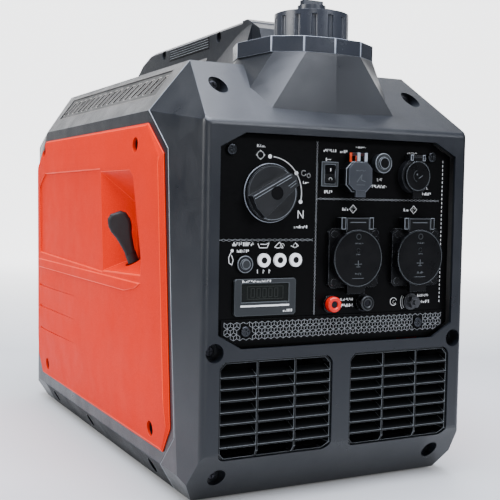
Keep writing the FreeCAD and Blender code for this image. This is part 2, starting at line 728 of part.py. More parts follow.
def make_starter():
    start, way = grip_axis()
    width = Vector(0.33, 0.94, 0).cross(way).normalize()
    flat = way.cross(width)
    turn = FreeCAD.Matrix(
        width.x, flat.x, way.x, start.x, width.y, flat.y, way.y, start.y,
        width.z, flat.z, way.z, start.z, 0, 0, 0, 1)
    profile = [(5, 0), (5.4, 6), (6.8, 14), (8, 20), (10.6, 27), (11.2, 33), (9.4, 40), (5, 43.5)]
    ring = [*profile, *[(-x, z) for x, z in reversed(profile)]]
    paddle = prism([Vector(x, -5.5, z) for x, z in ring], Vector(0, 11, 0))
    rims = [e for e in paddle.Edges if abs(e.Vertexes[0].Y - e.Vertexes[-1].Y) < 0.1]
    paddle = paddle.makeFillet(3.5, rims)
    neck = Part.makeCylinder(5.5, 10, Vector(0, 0, -7.5))
    grip = paddle.fuse(neck).removeSplitter()
    feature("starter_grip", grip, Placement(turn))

    reel = body("recoil_reel", -116, FRONT + S.crank_depth, S.crank_z)
    turned(reel, "XZ", "H_Axis", [
        (0, 9), (0, S.reel_radius), (2, S.reel_radius), (2, S.reel_groove), (7, S.reel_groove),
        (7, S.reel_radius), (9, S.reel_radius), (9, 9)])
    housing = body("recoil_housing", -120, FRONT + S.crank_depth, S.crank_z)
    turned(housing, "XZ", "H_Axis", [
        (0, 0), (0, 46), (24, 46), (24, 43.5), (2.5, 43.5), (2.5, 8.95), (14, 8.95), (14, 0)])
    rope = body("starter_rope", -116, FRONT + S.crank_depth, S.crank_z)
    inner = S.reel_groove + 0.3
    turned(rope, "XZ", "H_Axis", [(2.3, inner), (2.3, 35), (6.7, 35), (6.7, inner)])


# ---------------------------------------------------------------- control panel

def devices():
    """Openings in the panel plate: each device's centre and the hole it needs."""
    return [
        circle(S.switch_x, S.switch_z, 5.2),
        rectangle(S.rocker_x - 6.6, S.rocker_x + 6.6, S.rocker_z - 9.6, S.rocker_z + 9.6),
        rectangle(S.usb_x - 10.3, S.usb_x + 10.3, S.usb_z - 10.3, S.usb_z + 10.3),
        circle(S.breaker_x, S.breaker_z, 6.3),
        circle(S.dc_x, S.dc_z, 11.3),
        circle(S.outlet_one_x, S.outlet_z, 22.3),
        circle(S.outlet_two_x, S.outlet_z, 22.3),
        circle(S.post_red_x, S.post_z, 3.3),
        circle(S.post_black_x, S.post_z, 3.3),
        circle(S.earth_x, S.earth_z, 3.3),
        circle(S.reset_x, S.reset_z, 5.3),
        *[circle(S.lamp_x + i * S.lamp_pitch, S.lamp_z, 4.3) for i in range(3)],
        rectangle(S.meter_x - 24.3, S.meter_x + 24.3, S.meter_z - 11.3, S.meter_z + 11.3),
        *[circle(x, z, 2.3) for x, z in PANEL_SCREWS],
    ]


PANEL_SCREWS = [(-107, 299.3), (97.2, 300), (-91.7, 148.2), (86, 148.2)]


def make_panel():
    gap, half, low_half = S.panel_gap, S.well_half, S.well_low_half
    plate = body("control_panel", 0, FRONT + S.well_depth, 0)
    add(plate, "XZ", 0, S.panel_thick, polygon([
        (half - gap, S.well_hip), (half - gap, S.well_shoulder), (S.well_top_half, S.well_top - gap),
        (-S.well_top_half, S.well_top - gap), (gap - half, S.well_shoulder), (gap - half, S.well_hip),
        (-low_half, S.well_bottom + gap), (low_half, S.well_bottom + gap)]))
    cut(plate, "XZ", 0, S.panel_thick, *devices())

    strip = body("pattern_strip", 0, FRONT + S.well_depth, 0)
    lean = 14
    add(strip, "XZ", -1.5, 0, polygon([
        (S.strip_half, S.strip_high), (-S.strip_half, S.strip_high), (-S.strip_half, S.strip_low + 6),
        (-S.strip_half + lean, S.strip_low), (S.strip_half - lean, S.strip_low),
        (S.strip_half, S.strip_low + 6)]))
    cut(strip, "XZ", -1.5, 0, *[circle(x, z, 4.8) for x, z in PANEL_SCREWS[2:]])
    screw_group("panel_screws", [
        (Vector(x, front_y(N.well_depth) - 0.05, z), Vector(0, 1, 0)) for x, z in PANEL_SCREWS])


def on_panel(label, x, z):
    """A device whose own origin is on the panel's front surface."""
    return body(label, x, FRONT + S.well_depth, z)


def make_switch():
    radius = S.switch_radius
    base = on_panel("switch_bezel", S.switch_x, S.switch_z)
    add(base, "XZ", -1.5, 0, circle(0, 0, radius + 1.5))
    cut(base, "XZ", -1.5, 0, circle(0, 0, 5.2))
    knob = on_panel("switch_knob", S.switch_x, S.switch_z)
    knob.setExpression("Placement.Rotation.Axis.x", "0")
    knob.setExpression("Placement.Rotation.Axis.y", "-1")
    knob.setExpression("Placement.Rotation.Axis.z", "0")
    knob.setExpression("Placement.Rotation.Angle", "sizes.switch_turn")
    add(knob, "XZ", -5, -1.8, circle(0, 0, radius))
    add(knob, "XZ", -13, -5, polygon([
        (-radius + 3, -11), (radius - 3, -6), (radius - 1, 0), (radius - 3, 6), (-radius + 3, 11),
        (-radius + 1, 0)]))
    add(knob, "XZ", -1.8, 12, circle(0, 0, 5.1))


def make_rocker():
    wide, tall = S.rocker_wide / 2, S.rocker_tall / 2
    bezel = on_panel("rocker_bezel", S.rocker_x, S.rocker_z)
    add(bezel, "XZ", -2, 0, rectangle(-wide, wide, -tall, tall))
    add(bezel, "XZ", 0, 14, rectangle(-6.4, 6.4, -9.4, 9.4))
    cut(bezel, "XZ", -2, 11, rectangle(-5.3, 5.3, -8.3, 8.3))
    cut(bezel, "YZ", -6.2, 6.2, circle(S.rocker_pivot, 0, 1.25))
    key = on_panel("eco_rocker", S.rocker_x, S.rocker_z)
    profile = [(-3.6, 7.2), (-1.6, 0), (-3.6, -7.2), (-0.6, -7.2), (4, -4), (4, 4), (-0.6, 7.2)]
    add(key, "YZ", -5, 5, polygon(profile))
    add(key, "YZ", -6, 6, circle(S.rocker_pivot, 0, 1.1))


def make_usb():
    wide, tall = S.usb_wide / 2, S.usb_tall / 2
    front = -S.usb_proud
    socket = on_panel("usb_socket", S.usb_x, S.usb_z)
    add(socket, "XZ", front, 0, cut_corners(-wide, wide, -tall, tall, 6))
    add(socket, "XZ", 0, 20, rectangle(-10, 10, -10, 10))
    cut(socket, "XZ", front, 10, rectangle(-6.8, -0.8, -6, 6), rectangle(0.8, 6.8, -6, 6))
    add(socket, "XZ", -4, 0, rectangle(-0.2, 3.7, tall - 1, tall + 8.5))
    add(socket, "YZ", -3.5, 7, circle(-S.usb_pivot, S.usb_pivot_z, 0.7))
    lid = on_panel("usb_cover", S.usb_x, S.usb_z)
    face = cut_corners(-wide + 1.5, wide - 1.5, -tall + 1.5, tall - 0.5, 5)
    add(lid, "XZ", front - 2.5, front - 0.2, face)
    add(lid, "XZ", front - 2.3, front - 0.2, rectangle(-4.5, 5.5, -tall - 4.5, -tall + 2))
    straps = [rectangle(-3.5, -0.5, tall - 1, tall + 8), rectangle(4, 7, tall - 1, tall + 8)]
    add(lid, "XZ", front - 1.7, front - 0.2, *straps)
    hooks = [rectangle(-3.5, -0.5, tall + 5.5, tall + 8), rectangle(4, 7, tall + 5.5, tall + 8)]
    add(lid, "XZ", front - 1.7, -0.6, *hooks)
    cut(lid, "YZ", -4, 8, circle(-S.usb_pivot, S.usb_pivot_z, 0.85))


def make_buttons():
    breaker = on_panel("breaker_body", S.breaker_x, S.breaker_z)
    add(breaker, "XZ", -7, 0, circle(0, 0, S.breaker_radius))
    add(breaker, "XZ", 0, 24, circle(0, 0, 6))
    cut(breaker, "XZ", -7, 14, circle(0, 0, 5.3))
    push = on_panel("breaker_button", S.breaker_x, S.breaker_z)
    add(push, "XZ", -8.5, 6, circle(0, 0, 5.2))

    reset = on_panel("reset_bezel", S.reset_x, S.reset_z)
    add(reset, "XZ", -3, 0, circle(0, 0, S.reset_radius))
    add(reset, "XZ", 0, 16, circle(0, 0, 5))
    cut(reset, "XZ", -3, 12, circle(0, 0, 4.1))
    cap = on_panel("reset_button", S.reset_x, S.reset_z)
    add(cap, "XZ", -5, 6, circle(0, 0, 4))

    lamps = on_panel("indicator_lamps", S.lamp_x, S.lamp_z)
    spots = [i * S.lamp_pitch for i in range(3)]
    add(lamps, "XZ", -2.2, 0, *[circle(x, 0, S.lamp_radius) for x in spots])
    add(lamps, "XZ", 0, 12, *[circle(x, 0, 4) for x in spots])

    meter = on_panel("run_meter", S.meter_x, S.meter_z)
    wide, tall = S.meter_wide / 2, S.meter_tall / 2
    add(meter, "XZ", -3, 0, cut_corners(-wide, wide, -tall, tall, 1.5))
    add(meter, "XZ", 0, 14, rectangle(-24, 24, -11, 11))
    cut(meter, "XZ", -3, -2, rectangle(-22.5, 22.5, -4, 11.5))


def make_dc_socket():
    radius = S.dc_radius
    socket = on_panel("dc_socket", S.dc_x, S.dc_z)
    front = -S.dc_proud
    add(socket, "XZ", front, 0, circle(0, 0, radius + 0.7))
    add(socket, "XZ", 0, 32, circle(0, 0, 11))
    cut(socket, "XZ", front, 26, circle(0, 0, 9.5))
    low, high = radius - 1, radius + 4
    ears = [rectangle(-8, -5.4, low, high), rectangle(5.4, 8, low, high)]
    add(socket, "XZ", front - 2.4, 0, *ears)
    add(socket, "YZ", -8, 8, circle(-S.dc_pivot, S.dc_pivot_z, 0.75))
    lid = on_panel("dc_lid", S.dc_x, S.dc_z)
    add(lid, "XZ", front - 3, front - 0.3, circle(0, 0, radius - 1.3))
    add(lid, "XZ", front - 2.4, front - 0.3, rectangle(-5, 5, -radius - 5, radius + 3.8))
    add(lid, "XZ", front - 0.3, front + 3, circle(0, 0, 7.6))
    cut(lid, "XZ", front - 0.3, front + 3, circle(0, 0, 6))
    add(lid, "YZ", -5, 5, circle(-S.dc_pivot, S.dc_pivot_z, 1.6))
    cut(lid, "YZ", -5, 5, circle(-S.dc_pivot, S.dc_pivot_z, 0.9))


def make_outlets():
    """Two mains sockets, each with its own sprung lid hinged along the top."""
    wide, tall = S.outlet_wide / 2, S.outlet_tall / 2
    well, deep, reach = S.outlet_well, S.outlet_well_depth, S.outlet_lid
    sockets = on_panel("ac_sockets", 0, S.outlet_z)
    for x in (S.outlet_one_x, S.outlet_two_x):
        add(sockets, "XZ", -4, 0, cut_corners(x - wide, x + wide, -tall, tall, 3))
        corners = [(x + side * 21, up * 21) for side in (-1, 1) for up in (-1, 1)]
        add(sockets, "XZ", -4.8, -3, *[circle(*corner, 3) for corner in corners])
        add(sockets, "XZ", 0, 40, circle(x, 0, 22))
        cut(sockets, "XZ", -4, deep, circle(x, 0, well))
        cut(sockets, "XZ", deep, deep + 18, circle(x - 9.5, 0, 2.6), circle(x + 9.5, 0, 2.6))
        for inner, outer in ((x - 16.5, x - 12.5), (x + 12.5, x + 16.5)):
            add(sockets, "XZ", -9, 0, rectangle(inner, outer, tall - 0.5, tall + 9.5))
        add(sockets, "YZ", x - 16.5, x + 16.5, circle(-S.outlet_pivot, S.outlet_pivot_z, 1.2))
    for label, x in (("ac_lid_one", S.outlet_one_x), ("ac_lid_two", S.outlet_two_x)):
        lid = on_panel(label, x, S.outlet_z)
        add(lid, "XZ", -11, -4.3, circle(0, 0, reach))
        add(lid, "XZ", -9.5, -4.3, rectangle(-12.1, 12.1, reach - 5, tall + 9.5))
        add(lid, "XZ", -9, -4.3, rectangle(-9, 9, -reach - 6, -reach + 3))
        cut(lid, "YZ", -12.1, 12.1, circle(-S.outlet_pivot, S.outlet_pivot_z, 1.35))


def make_terminals():
    places = (("red", S.post_red_x), ("black", S.post_black_x))
    posts = on_panel("terminal_posts", 0, S.post_z)
    for colour, x in places:
        add(posts, "XZ", -3, 0, circle(x, 0, S.post_radius + 0.7))
        add(posts, "XZ", -8.5, 18, circle(x, 0, 3))
        nut = on_panel(f"{colour}_terminal_knob", x, S.post_z)
        add(nut, "XZ", -10, -3.2, circle(0, 0, S.post_radius))
        cut(nut, "XZ", -10, -3.2, circle(0, 0, 3.06))
    earth = on_panel("earth_terminal", S.earth_x, S.earth_z)
    add(earth, "XZ", -1.2, 0, circle(0, 0, 7.5))
    add(earth, "XZ", -2.4, -1.2, circle(0, 0, 6))
    hexagon = [(5.8 * math.cos(math.radians(60 * i)), 5.8 * math.sin(math.radians(60 * i))) for i in range(6)]
    add(earth, "XZ", -7.7, -2.4, polygon(hexagon))
    add(earth, "XZ", -11, 16, circle(0, 0, 3))


def make_grilles():
    """Louvre inserts that sit inside the two air inlets."""
    grilles = body("front_grilles", 0, FRONT, 0)
    gap, front, back = S.grille_gap, S.grille_front, S.grille_back
    low_z, high_z = S.vent_low + gap, S.vent_high - gap
    for side in (-1, 1):
        low_x, high_x = S.vent_inner + gap, S.vent_outer - gap
        if side < 0:
            low_x, high_x = -high_x, -low_x
        add(grilles, "XZ", front, back, cut_corners(low_x, high_x, low_z, high_z, 5.5))
        inside = cut_corners(low_x + 1.6, high_x - 1.6, low_z + 1.6, high_z - 1.6, 5)
        cut(grilles, "XZ", front, back, inside)
        for i in range(7):
            level = S.slat_top - i * S.slat_pitch
            rear, top = front + S.slat_depth, level + S.slat_rise
            slat = [(front, level), (rear, top), (rear, top + S.slat_thick), (front, level + S.slat_thick)]
            add(grilles, "YZ", low_x + 0.8, high_x - 0.8, polygon(slat))
        for x in (45.5, 81.8):
            upright = rectangle(front, back, low_z + 0.8, high_z - 0.8)
            add(grilles, "YZ", side * x - 1, side * x + 1, upright)
    cut(grilles, "YZ", -150, 150, polygon([
        (-10, S.chin_z), (front, S.chin_z), (S.chin_depth + front, S.base_z), (-10, S.base_z)]))


# ---------------------------------------------------------------- filler and handle

def make_filler():
    def ring(points, low, high):
        return prism([Vector(v.x, v.y, low) for v in points], Vector(0, 0, high - low))

    outline = dome_outline(-1.5, N.dome_top_z)
    inside = dome_outline(N.collar_wall - 1.5, N.dome_top_z)
    floor_z = N.dome_top_z + N.collar_floor
    collar = ring(outline, N.dome_top_z, N.collar_top_z).cut(ring(inside, floor_z, N.collar_top_z + 5))
    centre = Vector(0, front_y(N.filler_depth), 0)
    collar = collar.cut(Part.makeCylinder(N.neck_hole, 500, centre))
    feature("filler_collar", collar.removeSplitter())

    cap = body("fuel_cap", 0, FRONT + S.filler_depth, 0)
    add(cap, "XY", S.cap_low_z, S.cap_high_z, circle(0, 0, S.cap_radius))
    flutes = []
    for i in range(SIZES["flute_count"]):
        angle = 2 * math.pi * (i + 0.5) / SIZES["flute_count"]
        reach = S.cap_radius + 1.4
        flutes.append(circle(reach * math.cos(angle), reach * math.sin(angle), S.flute_radius))
    cut(cap, "XY", S.cap_low_z, S.cap_high_z - 4, *flutes)
    cut(cap, "XY", S.cap_low_z, S.cap_high_z - S.cap_roof, circle(0, 0, S.cap_skirt))

    lever = body("breather_lever", 0, FRONT + S.filler_depth, 0)
    add(lever, "XY", S.cap_high_z + 0.3, S.breather_high_z - 5, circle(0, 0, S.breather_radius))
    add(lever, "XY", S.cap_high_z + 0.3, S.breather_high_z - 6, rectangle(0, 20, -4, 4))
    add(lever, "XY", S.breather_high_z - 5, S.breather_high_z, rectangle(-10, 10, -4, 4))

    tank = body("fuel_tank", 0, FRONT, 0)
    half, low, high = S.tank_half, S.tank_low_z, S.tank_high_z
    add(tank, "XY", low, high, cut_corners(-half, half, S.tank_front, S.tank_rear, 18))
    add(tank, "XY", 330, high, rectangle(-44, 44, 38, S.tank_front + 2))
    add(tank, "XY", high, S.neck_top_z, circle(0, S.filler_depth, S.neck_radius))
    inside = cut_corners(-half + 3, half - 3, S.tank_front + 3, S.tank_rear - 3, 17)
    cut(tank, "XY", low + 3, high - 3, inside)
    cut(tank, "XY", 333, high - 3, rectangle(-41, 41, 41, S.tank_front + 4))
    cut(tank, "XY", high - 4, S.neck_top_z, circle(0, S.filler_depth, S.neck_radius - 3))


def make_handle():
    """Carrying handle along the middle of the roof; depths are measured from the front face."""
    handle = body("carry_handle", 0, FRONT, 0)
    half, low, high = S.grip_half, S.grip_low_z, S.grip_high_z
    roof, foot_half = S.roof_z + 0.2, S.grip_foot_half
    add(handle, "YZ", -half, half, polygon([
        (141, roof), (141, 402.5), (119, 403.5), (128, 425), (154, high), (410, high),
        (448, 426), (468, 414), (486, 353.2), (447, roof)]))
    foot = sketch_on(handle, "XY", roof)
    polygon([(-foot_half, 141), (foot_half, 141), (half, 285), (-half, 285)])(foot)
    crest = sketch_on(handle, "XY", high - 4)
    polygon([(-half + 0.5, 144), (half - 0.5, 144), (half - 0.5, 163), (-half + 0.5, 163)])(crest)
    flare = handle.newObject("PartDesign::AdditiveLoft", "flare")
    flare.Profile = foot
    flare.Sections = [crest]
    flare.Ruled = True
    cut(handle, "YZ", -half, half, polygon([(285, roof - 2), (250, low), (398, low), (414, roof - 2)]))
    for side in (-1, 1):
        corner = [(side * half, high - S.grip_edge), (side * half, high + 1),
                  (side * (half - S.grip_edge), high + 1), (side * (half - S.grip_edge), high)]
        cut(handle, "XZ", 165, 480, polygon(corner))
        inner, outer = sorted((side * (N.grip_half - 1.6), side * (N.grip_half + 1)))
        cut(handle, "YZ", inner, outer, rectangle(244, 358, low + 9, high - S.grip_edge))
        seat_inner, seat_outer = sorted((side * (N.grip_half - 5), side * (N.grip_half + 1)))
        cut(handle, "YZ", seat_inner, seat_outer, *[circle(d, z, 5.6) for d, z in HANDLE_SCREWS])

    grips = body("handle_grips", 0, FRONT, 0)
    face, top = S.grip_half - 1.6, high - S.grip_edge - 0.3
    for side in (-1, 1):
        inner, outer = (face, face + 1.2) if side > 0 else (-face - 1.2, -face)
        add(grips, "YZ", inner, outer, rectangle(244.3, 357.7, low + 9.3, top))
        rib_inner, rib_outer = (face + 1.2, face + 2.4) if side > 0 else (-face - 2.4, -face - 1.2)
        ribs = [rectangle(247, 355, low + 10.2 + 2.7 * i, low + 11.6 + 2.7 * i) for i in range(5)]
        add(grips, "YZ", rib_inner, rib_outer, *ribs)
    places = []
    for side in (-1, 1):
        for depth, z in HANDLE_SCREWS:
            seat = Vector(side * (N.grip_half - 4.95), front_y(depth), z)
            places.append((seat, side))
    heads = [Part.makeCylinder(4.5, 2.6, at, Vector(side, 0, 0)) for at, side in places]
    cross = []
    for at, side in places:
        deep = Vector(side * 1.4, 0, 0)
        for size_y, size_z in ((6, 1.1), (1.1, 6)):
            tool = Part.makeBox(3, size_y, size_z, at + Vector(0, -size_y / 2, -size_z / 2))
            if side < 0:
                tool.translate(Vector(-3, 0, 0))
            tool.translate(deep)
            cross.append(tool)
    feature("handle_screws", Part.makeCompound([head.cut(cross) for head in heads]))


HANDLE_SCREWS = [(221, 429.5), (376, 430.5)]


# ---------------------------------------------------------------- engine and electrics

def make_engine():
    crank_y, crank_z = FRONT + S.crank_depth, S.crank_z
    bore = S.shaft_radius + S.shaft_fit
    shaft = body("crankshaft", 0, crank_y, crank_z)
    add(shaft, "YZ", -95, 62, circle(0, 0, S.shaft_radius))

    fan = body("cooling_fan", 0, crank_y, crank_z)
    add(fan, "YZ", -92, -88, circle(0, 0, 58))
    for i in range(12):
        angle = math.radians(30 * i)
        along_x, along_z = math.cos(angle), math.sin(angle)
        corners = [(r * along_x - w * along_z, r * along_z + w * along_x)
                   for r, w in ((30, -1.2), (55, -1.2), (55, 1.2), (30, 1.2))]
        add(fan, "YZ", -88, -74, polygon(corners))
    cut(fan, "YZ", -92, -88, circle(0, 0, bore))

    rotor = body("alternator_rotor", 0, crank_y, crank_z)
    add(rotor, "YZ", -72, -30, circle(0, 0, 62))
    cut(rotor, "YZ", -68, -30, circle(0, 0, 54))
    cut(rotor, "YZ", -72, -68, circle(0, 0, bore))
    stator = body("alternator_stator", 0, crank_y, crank_z)
    add(stator, "YZ", -60, -32, circle(0, 0, 52))
    add(stator, "YZ", -32, -27.2, circle(0, 0, 40))
    cut(stator, "YZ", -60, -27.2, circle(0, 0, 12))

    case = body("engine_block", 0, crank_y, 0)
    add(case, "XY", 24, 205, cut_corners(-27, 45, -50, 50, 8))
    cut(case, "YZ", -27, 45, circle(0, S.crank_z, bore))
    head = body("cylinder_head", 0, crank_y, crank_z)
    add(head, "XZ", 50, 128, rectangle(-22, 40, -30, 30))
    for i in range(7):
        add(head, "XZ", 58 + 9 * i, 61 + 9 * i, rectangle(-26, 44, -40, 40))
    plug = body("spark_plug", 10, crank_y, crank_z)
    add(plug, "XZ", 128, 134, circle(0, 0, 8))
    add(plug, "XZ", 134, 158, circle(0, 0, 5))

    carburettor = body("carburettor", 10, crank_y, crank_z)
    add(carburettor, "XY", 40, 74, cut_corners(-18, 18, 74, 108, 4))
    cleaner = body("air_cleaner", 0, crank_y, crank_z)
    add(cleaner, "XY", 74, 140, cut_corners(-40, 80, 60, 150, 10))

    muffler = body("muffler", 0, FRONT, 0)
    add(muffler, "XZ", 392, 470, cut_corners(-110, 50, 90, 200, 16))
    outlet = body("exhaust_outlet", -58, 0, 150)
    add(outlet, "XZ", -FRONT - 54.7, -FRONT - 8, circle(0, 0, 20))
    add(outlet, "XZ", -FRONT - 10, -FRONT + 4, circle(0, 0, 32))
    cut(outlet, "XZ", -FRONT - 4, -FRONT + 4, circle(0, 0, 22))
    cut(outlet, "XZ", -FRONT - 54.7, -FRONT - 3, circle(0, 0, 17))

    frame = body("engine_frame", 0, FRONT, 0)
    add(frame, "XY", 20, 24, rectangle(-80, 90, 120, 470))
    add(frame, "XY", 24, 90, rectangle(-90, -60, 410, 450), rectangle(20, 50, 410, 450))
    bushes = body("engine_bushes", 0, FRONT, 0)
    add(bushes, "XY", 5, 20, *[circle(x, y, 12) for x in (-66, 76) for y in (150, 440)])
    inverter = body("inverter_module", 0, FRONT, 0)
    add(inverter, "XZ", 64, 100, rectangle(-95, 105, 60, 290))
    for i in range(12):
        add(inverter, "XZ", 100, 116, rectangle(-90 + 16 * i, -86 + 16 * i, 64, 286))
    sump = body("oil_filler", 0, crank_y, 0)
    add(sump, "YZ", 45, 78, circle(-20, 60, 9))
    add(sump, "YZ", 78, 90, circle(-20, 60, 13))


make_front_shroud()
make_rear_shroud()
make_centre_cover()
make_base_tray()
make_left_panel()
make_right_panel()
feature("vent_strips", Part.makeCompound([vent_strip(side) for side in (-1, 1)]))
make_casing_screws()
make_feet()
make_starter()
make_panel()
make_switch()
make_rocker()
make_usb()
make_buttons()
make_dc_socket()
make_outlets()
make_terminals()
make_grilles()
make_filler()
make_handle()
make_engine()

doc.recompute()

for item in doc.Objects:
    if "Invalid" in item.State or "Error" in item.State:
        raise RuntimeError(f"{item.Label} failed: {item.State}")
for label, item in parts.items():
    if item.Shape.isNull() or not item.Shape.isValid():
        raise RuntimeError(f"{label} has no valid shape")

os.makedirs("parts", exist_ok=True)
for label, item in parts.items():
    item.Shape.exportStep(f"parts/{label}.step")
    print(label, len(item.Shape.Solids), round(item.Shape.Volume))
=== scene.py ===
"""Looks of a portable inverter generator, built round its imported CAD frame. Lengths are metres."""
import json
import math
import random

import bmesh
import bpy
from mathutils import Matrix, Vector


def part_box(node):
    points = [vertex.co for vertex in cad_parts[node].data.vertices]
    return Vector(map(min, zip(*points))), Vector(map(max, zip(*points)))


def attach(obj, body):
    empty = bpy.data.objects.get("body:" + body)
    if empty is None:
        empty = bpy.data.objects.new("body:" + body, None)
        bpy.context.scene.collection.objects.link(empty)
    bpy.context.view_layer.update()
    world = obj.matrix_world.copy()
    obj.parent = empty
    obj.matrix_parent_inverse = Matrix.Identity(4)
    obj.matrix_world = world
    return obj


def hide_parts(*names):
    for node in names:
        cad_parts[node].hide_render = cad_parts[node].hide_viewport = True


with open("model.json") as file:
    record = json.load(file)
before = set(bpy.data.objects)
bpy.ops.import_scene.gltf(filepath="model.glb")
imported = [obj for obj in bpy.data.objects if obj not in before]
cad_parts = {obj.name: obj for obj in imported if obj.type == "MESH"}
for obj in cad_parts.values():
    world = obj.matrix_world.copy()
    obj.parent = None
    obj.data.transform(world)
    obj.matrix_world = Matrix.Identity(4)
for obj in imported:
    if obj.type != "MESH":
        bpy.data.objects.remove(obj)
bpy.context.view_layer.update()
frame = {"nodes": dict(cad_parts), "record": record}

MM = 0.001
NODE_BODY = {
    node: body
    for body, nodes in frame["record"]["behaviour"]["bodies"].items()
    for node in nodes
}
SLOT = {entry["node"]: entry["material_slot"] for entry in frame["record"]["subparts"]}
random.seed(7)

SWITCH = (-70, 264)     # the engine switch's axis on the panel, in millimetres along X and Z
LID_MIDDLES = {"ac_lid_one": 13, "ac_lid_two": 80}      # in millimetres along X
CAMERA_TURN = 27.2      # degrees between the camera's aim and +Y
LONG_EDGE = 12 * MM


# ---------------------------------------------------------------- materials

def srgb(red, green, blue):
    """Linear colour from the usual 0 to 255 values."""
    def linear(value):
        value /= 255
        return value / 12.92 if value <= 0.04045 else ((value + 0.055) / 1.055) ** 2.4
    return (linear(red), linear(green), linear(blue), 1.0)


class Shader:
    """A node material under construction: one Principled shader and the textures that feed it."""

    def __init__(self, name, **fixed):
        self.material = bpy.data.materials.new(name)
        self.material.use_nodes = True
        self.nodes = self.material.node_tree.nodes
        self.links = self.material.node_tree.links
        self.principled = self.nodes["Principled BSDF"]
        for socket, value in fixed.items():
            self.principled.inputs[socket.replace("_", " ")].default_value = value
        coordinates = self.nodes.new("ShaderNodeTexCoord")
        self.place = coordinates.outputs["Object"]
        self.normal = None

    def add(self, kind, **settings):
        node = self.nodes.new(kind)
        for key, value in settings.items():
            setattr(node, key, value)
        return node

    def noise(self, size, detail=3, roughness=0.5, stretch=(1, 1, 1)):
        """Noise whose features are about size metres across."""
        mapping = self.add("ShaderNodeMapping")
        mapping.inputs["Scale"].default_value = stretch
        self.links.new(self.place, mapping.inputs["Vector"])
        texture = self.add("ShaderNodeTexNoise")
        texture.inputs["Scale"].default_value = 1 / size
        texture.inputs["Detail"].default_value = detail
        texture.inputs["Roughness"].default_value = roughness
        self.links.new(mapping.outputs["Vector"], texture.inputs["Vector"])
        return texture.outputs["Fac"]

    def spread(self, source, low, high, start=0.3, end=0.7):
        """The source mapped so that start..end becomes low..high."""
        node = self.add("ShaderNodeMapRange")
        for key, value in (("From Min", start), ("From Max", end), ("To Min", low), ("To Max", high)):
            node.inputs[key].default_value = value
        self.links.new(source, node.inputs["Value"])
        return node.outputs["Result"]

    def blend(self, factor, first, second):
        """Mix of two colours, or of a colour already worked out and a plain one."""
        node = self.add("ShaderNodeMix", data_type="RGBA")
        self.links.new(factor, node.inputs["Factor"])
        for socket, colour in ((node.inputs["A"], first), (node.inputs["B"], second)):
            if isinstance(colour, tuple):
                socket.default_value = colour
            else:
                self.links.new(colour, socket)
        return node.outputs["Result"]

    def bump(self, height, strength, depth):
        node = self.add("ShaderNodeBump")
        node.inputs["Strength"].default_value = strength
        node.inputs["Distance"].default_value = depth
        self.links.new(height, node.inputs["Height"])
        if self.normal:
            self.links.new(self.normal, node.inputs["Normal"])
        self.normal = node.outputs["Normal"]
        self.links.new(self.normal, self.principled.inputs["Normal"])

    def colour(self, source):
        self.links.new(source, self.principled.inputs["Base Color"])

    def rough(self, source):
        self.links.new(source, self.principled.inputs["Roughness"])


def shade(colour, factor):
    return (colour[0] * factor, colour[1] * factor, colour[2] * factor, 1.0)


def moulded_plastic(name, colour, rough, grain, variation=0.08, specular=0.5):
    """Moulded plastic: spark-eroded grain, slow colour drift, dust in the rough patches."""
    shader = Shader(name, Specular_IOR_Level=specular)
    cloud = shader.spread(shader.noise(0.09, 4), 0, 1)
    body = shader.blend(cloud, shade(colour, 1 - variation), shade(colour, 1 + variation))
    fleck = shader.spread(shader.noise(0.0012, 1), 0, 0.35, 0.35, 0.75)
    shader.colour(shader.blend(fleck, body, shade(colour, 1.35)))
    shader.rough(shader.spread(shader.noise(0.03, 5, 0.65), rough - 0.07, rough + 0.09))
    shader.bump(shader.noise(0.0007, 2, 0.6), grain, 0.0004)
    shader.bump(shader.noise(0.05, 2), 0.06, 0.002)
    return shader.material


def rubber(name, colour):
    shader = Shader(name, Specular_IOR_Level=0.35)
    cloud = shader.spread(shader.noise(0.02, 4), 0, 1)
    shader.colour(shader.blend(cloud, shade(colour, 0.8), shade(colour, 1.3)))
    shader.rough(shader.spread(shader.noise(0.008, 4), 0.42, 0.62))
    shader.bump(shader.noise(0.0005, 2), 0.25, 0.0003)
    return shader.material


def bare_metal(name, colour, rough, brush=(1, 1, 12), stain=0.25):
    """Machined or plated metal with brush marks along one axis and faint staining."""
    shader = Shader(name, Metallic=1.0)
    marks = shader.noise(0.0016, 3, 0.6, brush)
    cloud = shader.spread(shader.noise(0.015, 5), 0, 1)
    shader.colour(shader.blend(cloud, shade(colour, 1 - stain), colour))
    shader.rough(shader.spread(marks, rough - 0.08, rough + 0.12))
    shader.bump(marks, 0.15, 0.0001)
    return shader.material


def cast_metal(name, colour, rough):
    shader = Shader(name, Metallic=0.9)
    cloud = shader.spread(shader.noise(0.012, 6, 0.7), 0, 1)
    shader.colour(shader.blend(cloud, shade(colour, 0.7), colour))
    shader.rough(shader.spread(shader.noise(0.004, 4), rough - 0.1, rough + 0.15))
    shader.bump(shader.noise(0.0012, 4, 0.7), 0.5, 0.0006)
    return shader.material


def printed_ink(name, colour):
    """Screen-printed ink with the faint breaks of a worn print."""
    shader = Shader(name, Specular_IOR_Level=0.3)
    worn = shader.spread(shader.noise(0.0016, 4, 0.7), 0, 0.45, 0.52, 0.8)
    shader.colour(shader.blend(worn, colour, shade(colour, 0.35)))
    shader.rough(shader.spread(shader.noise(0.001, 2), 0.4, 0.6))
    return shader.material


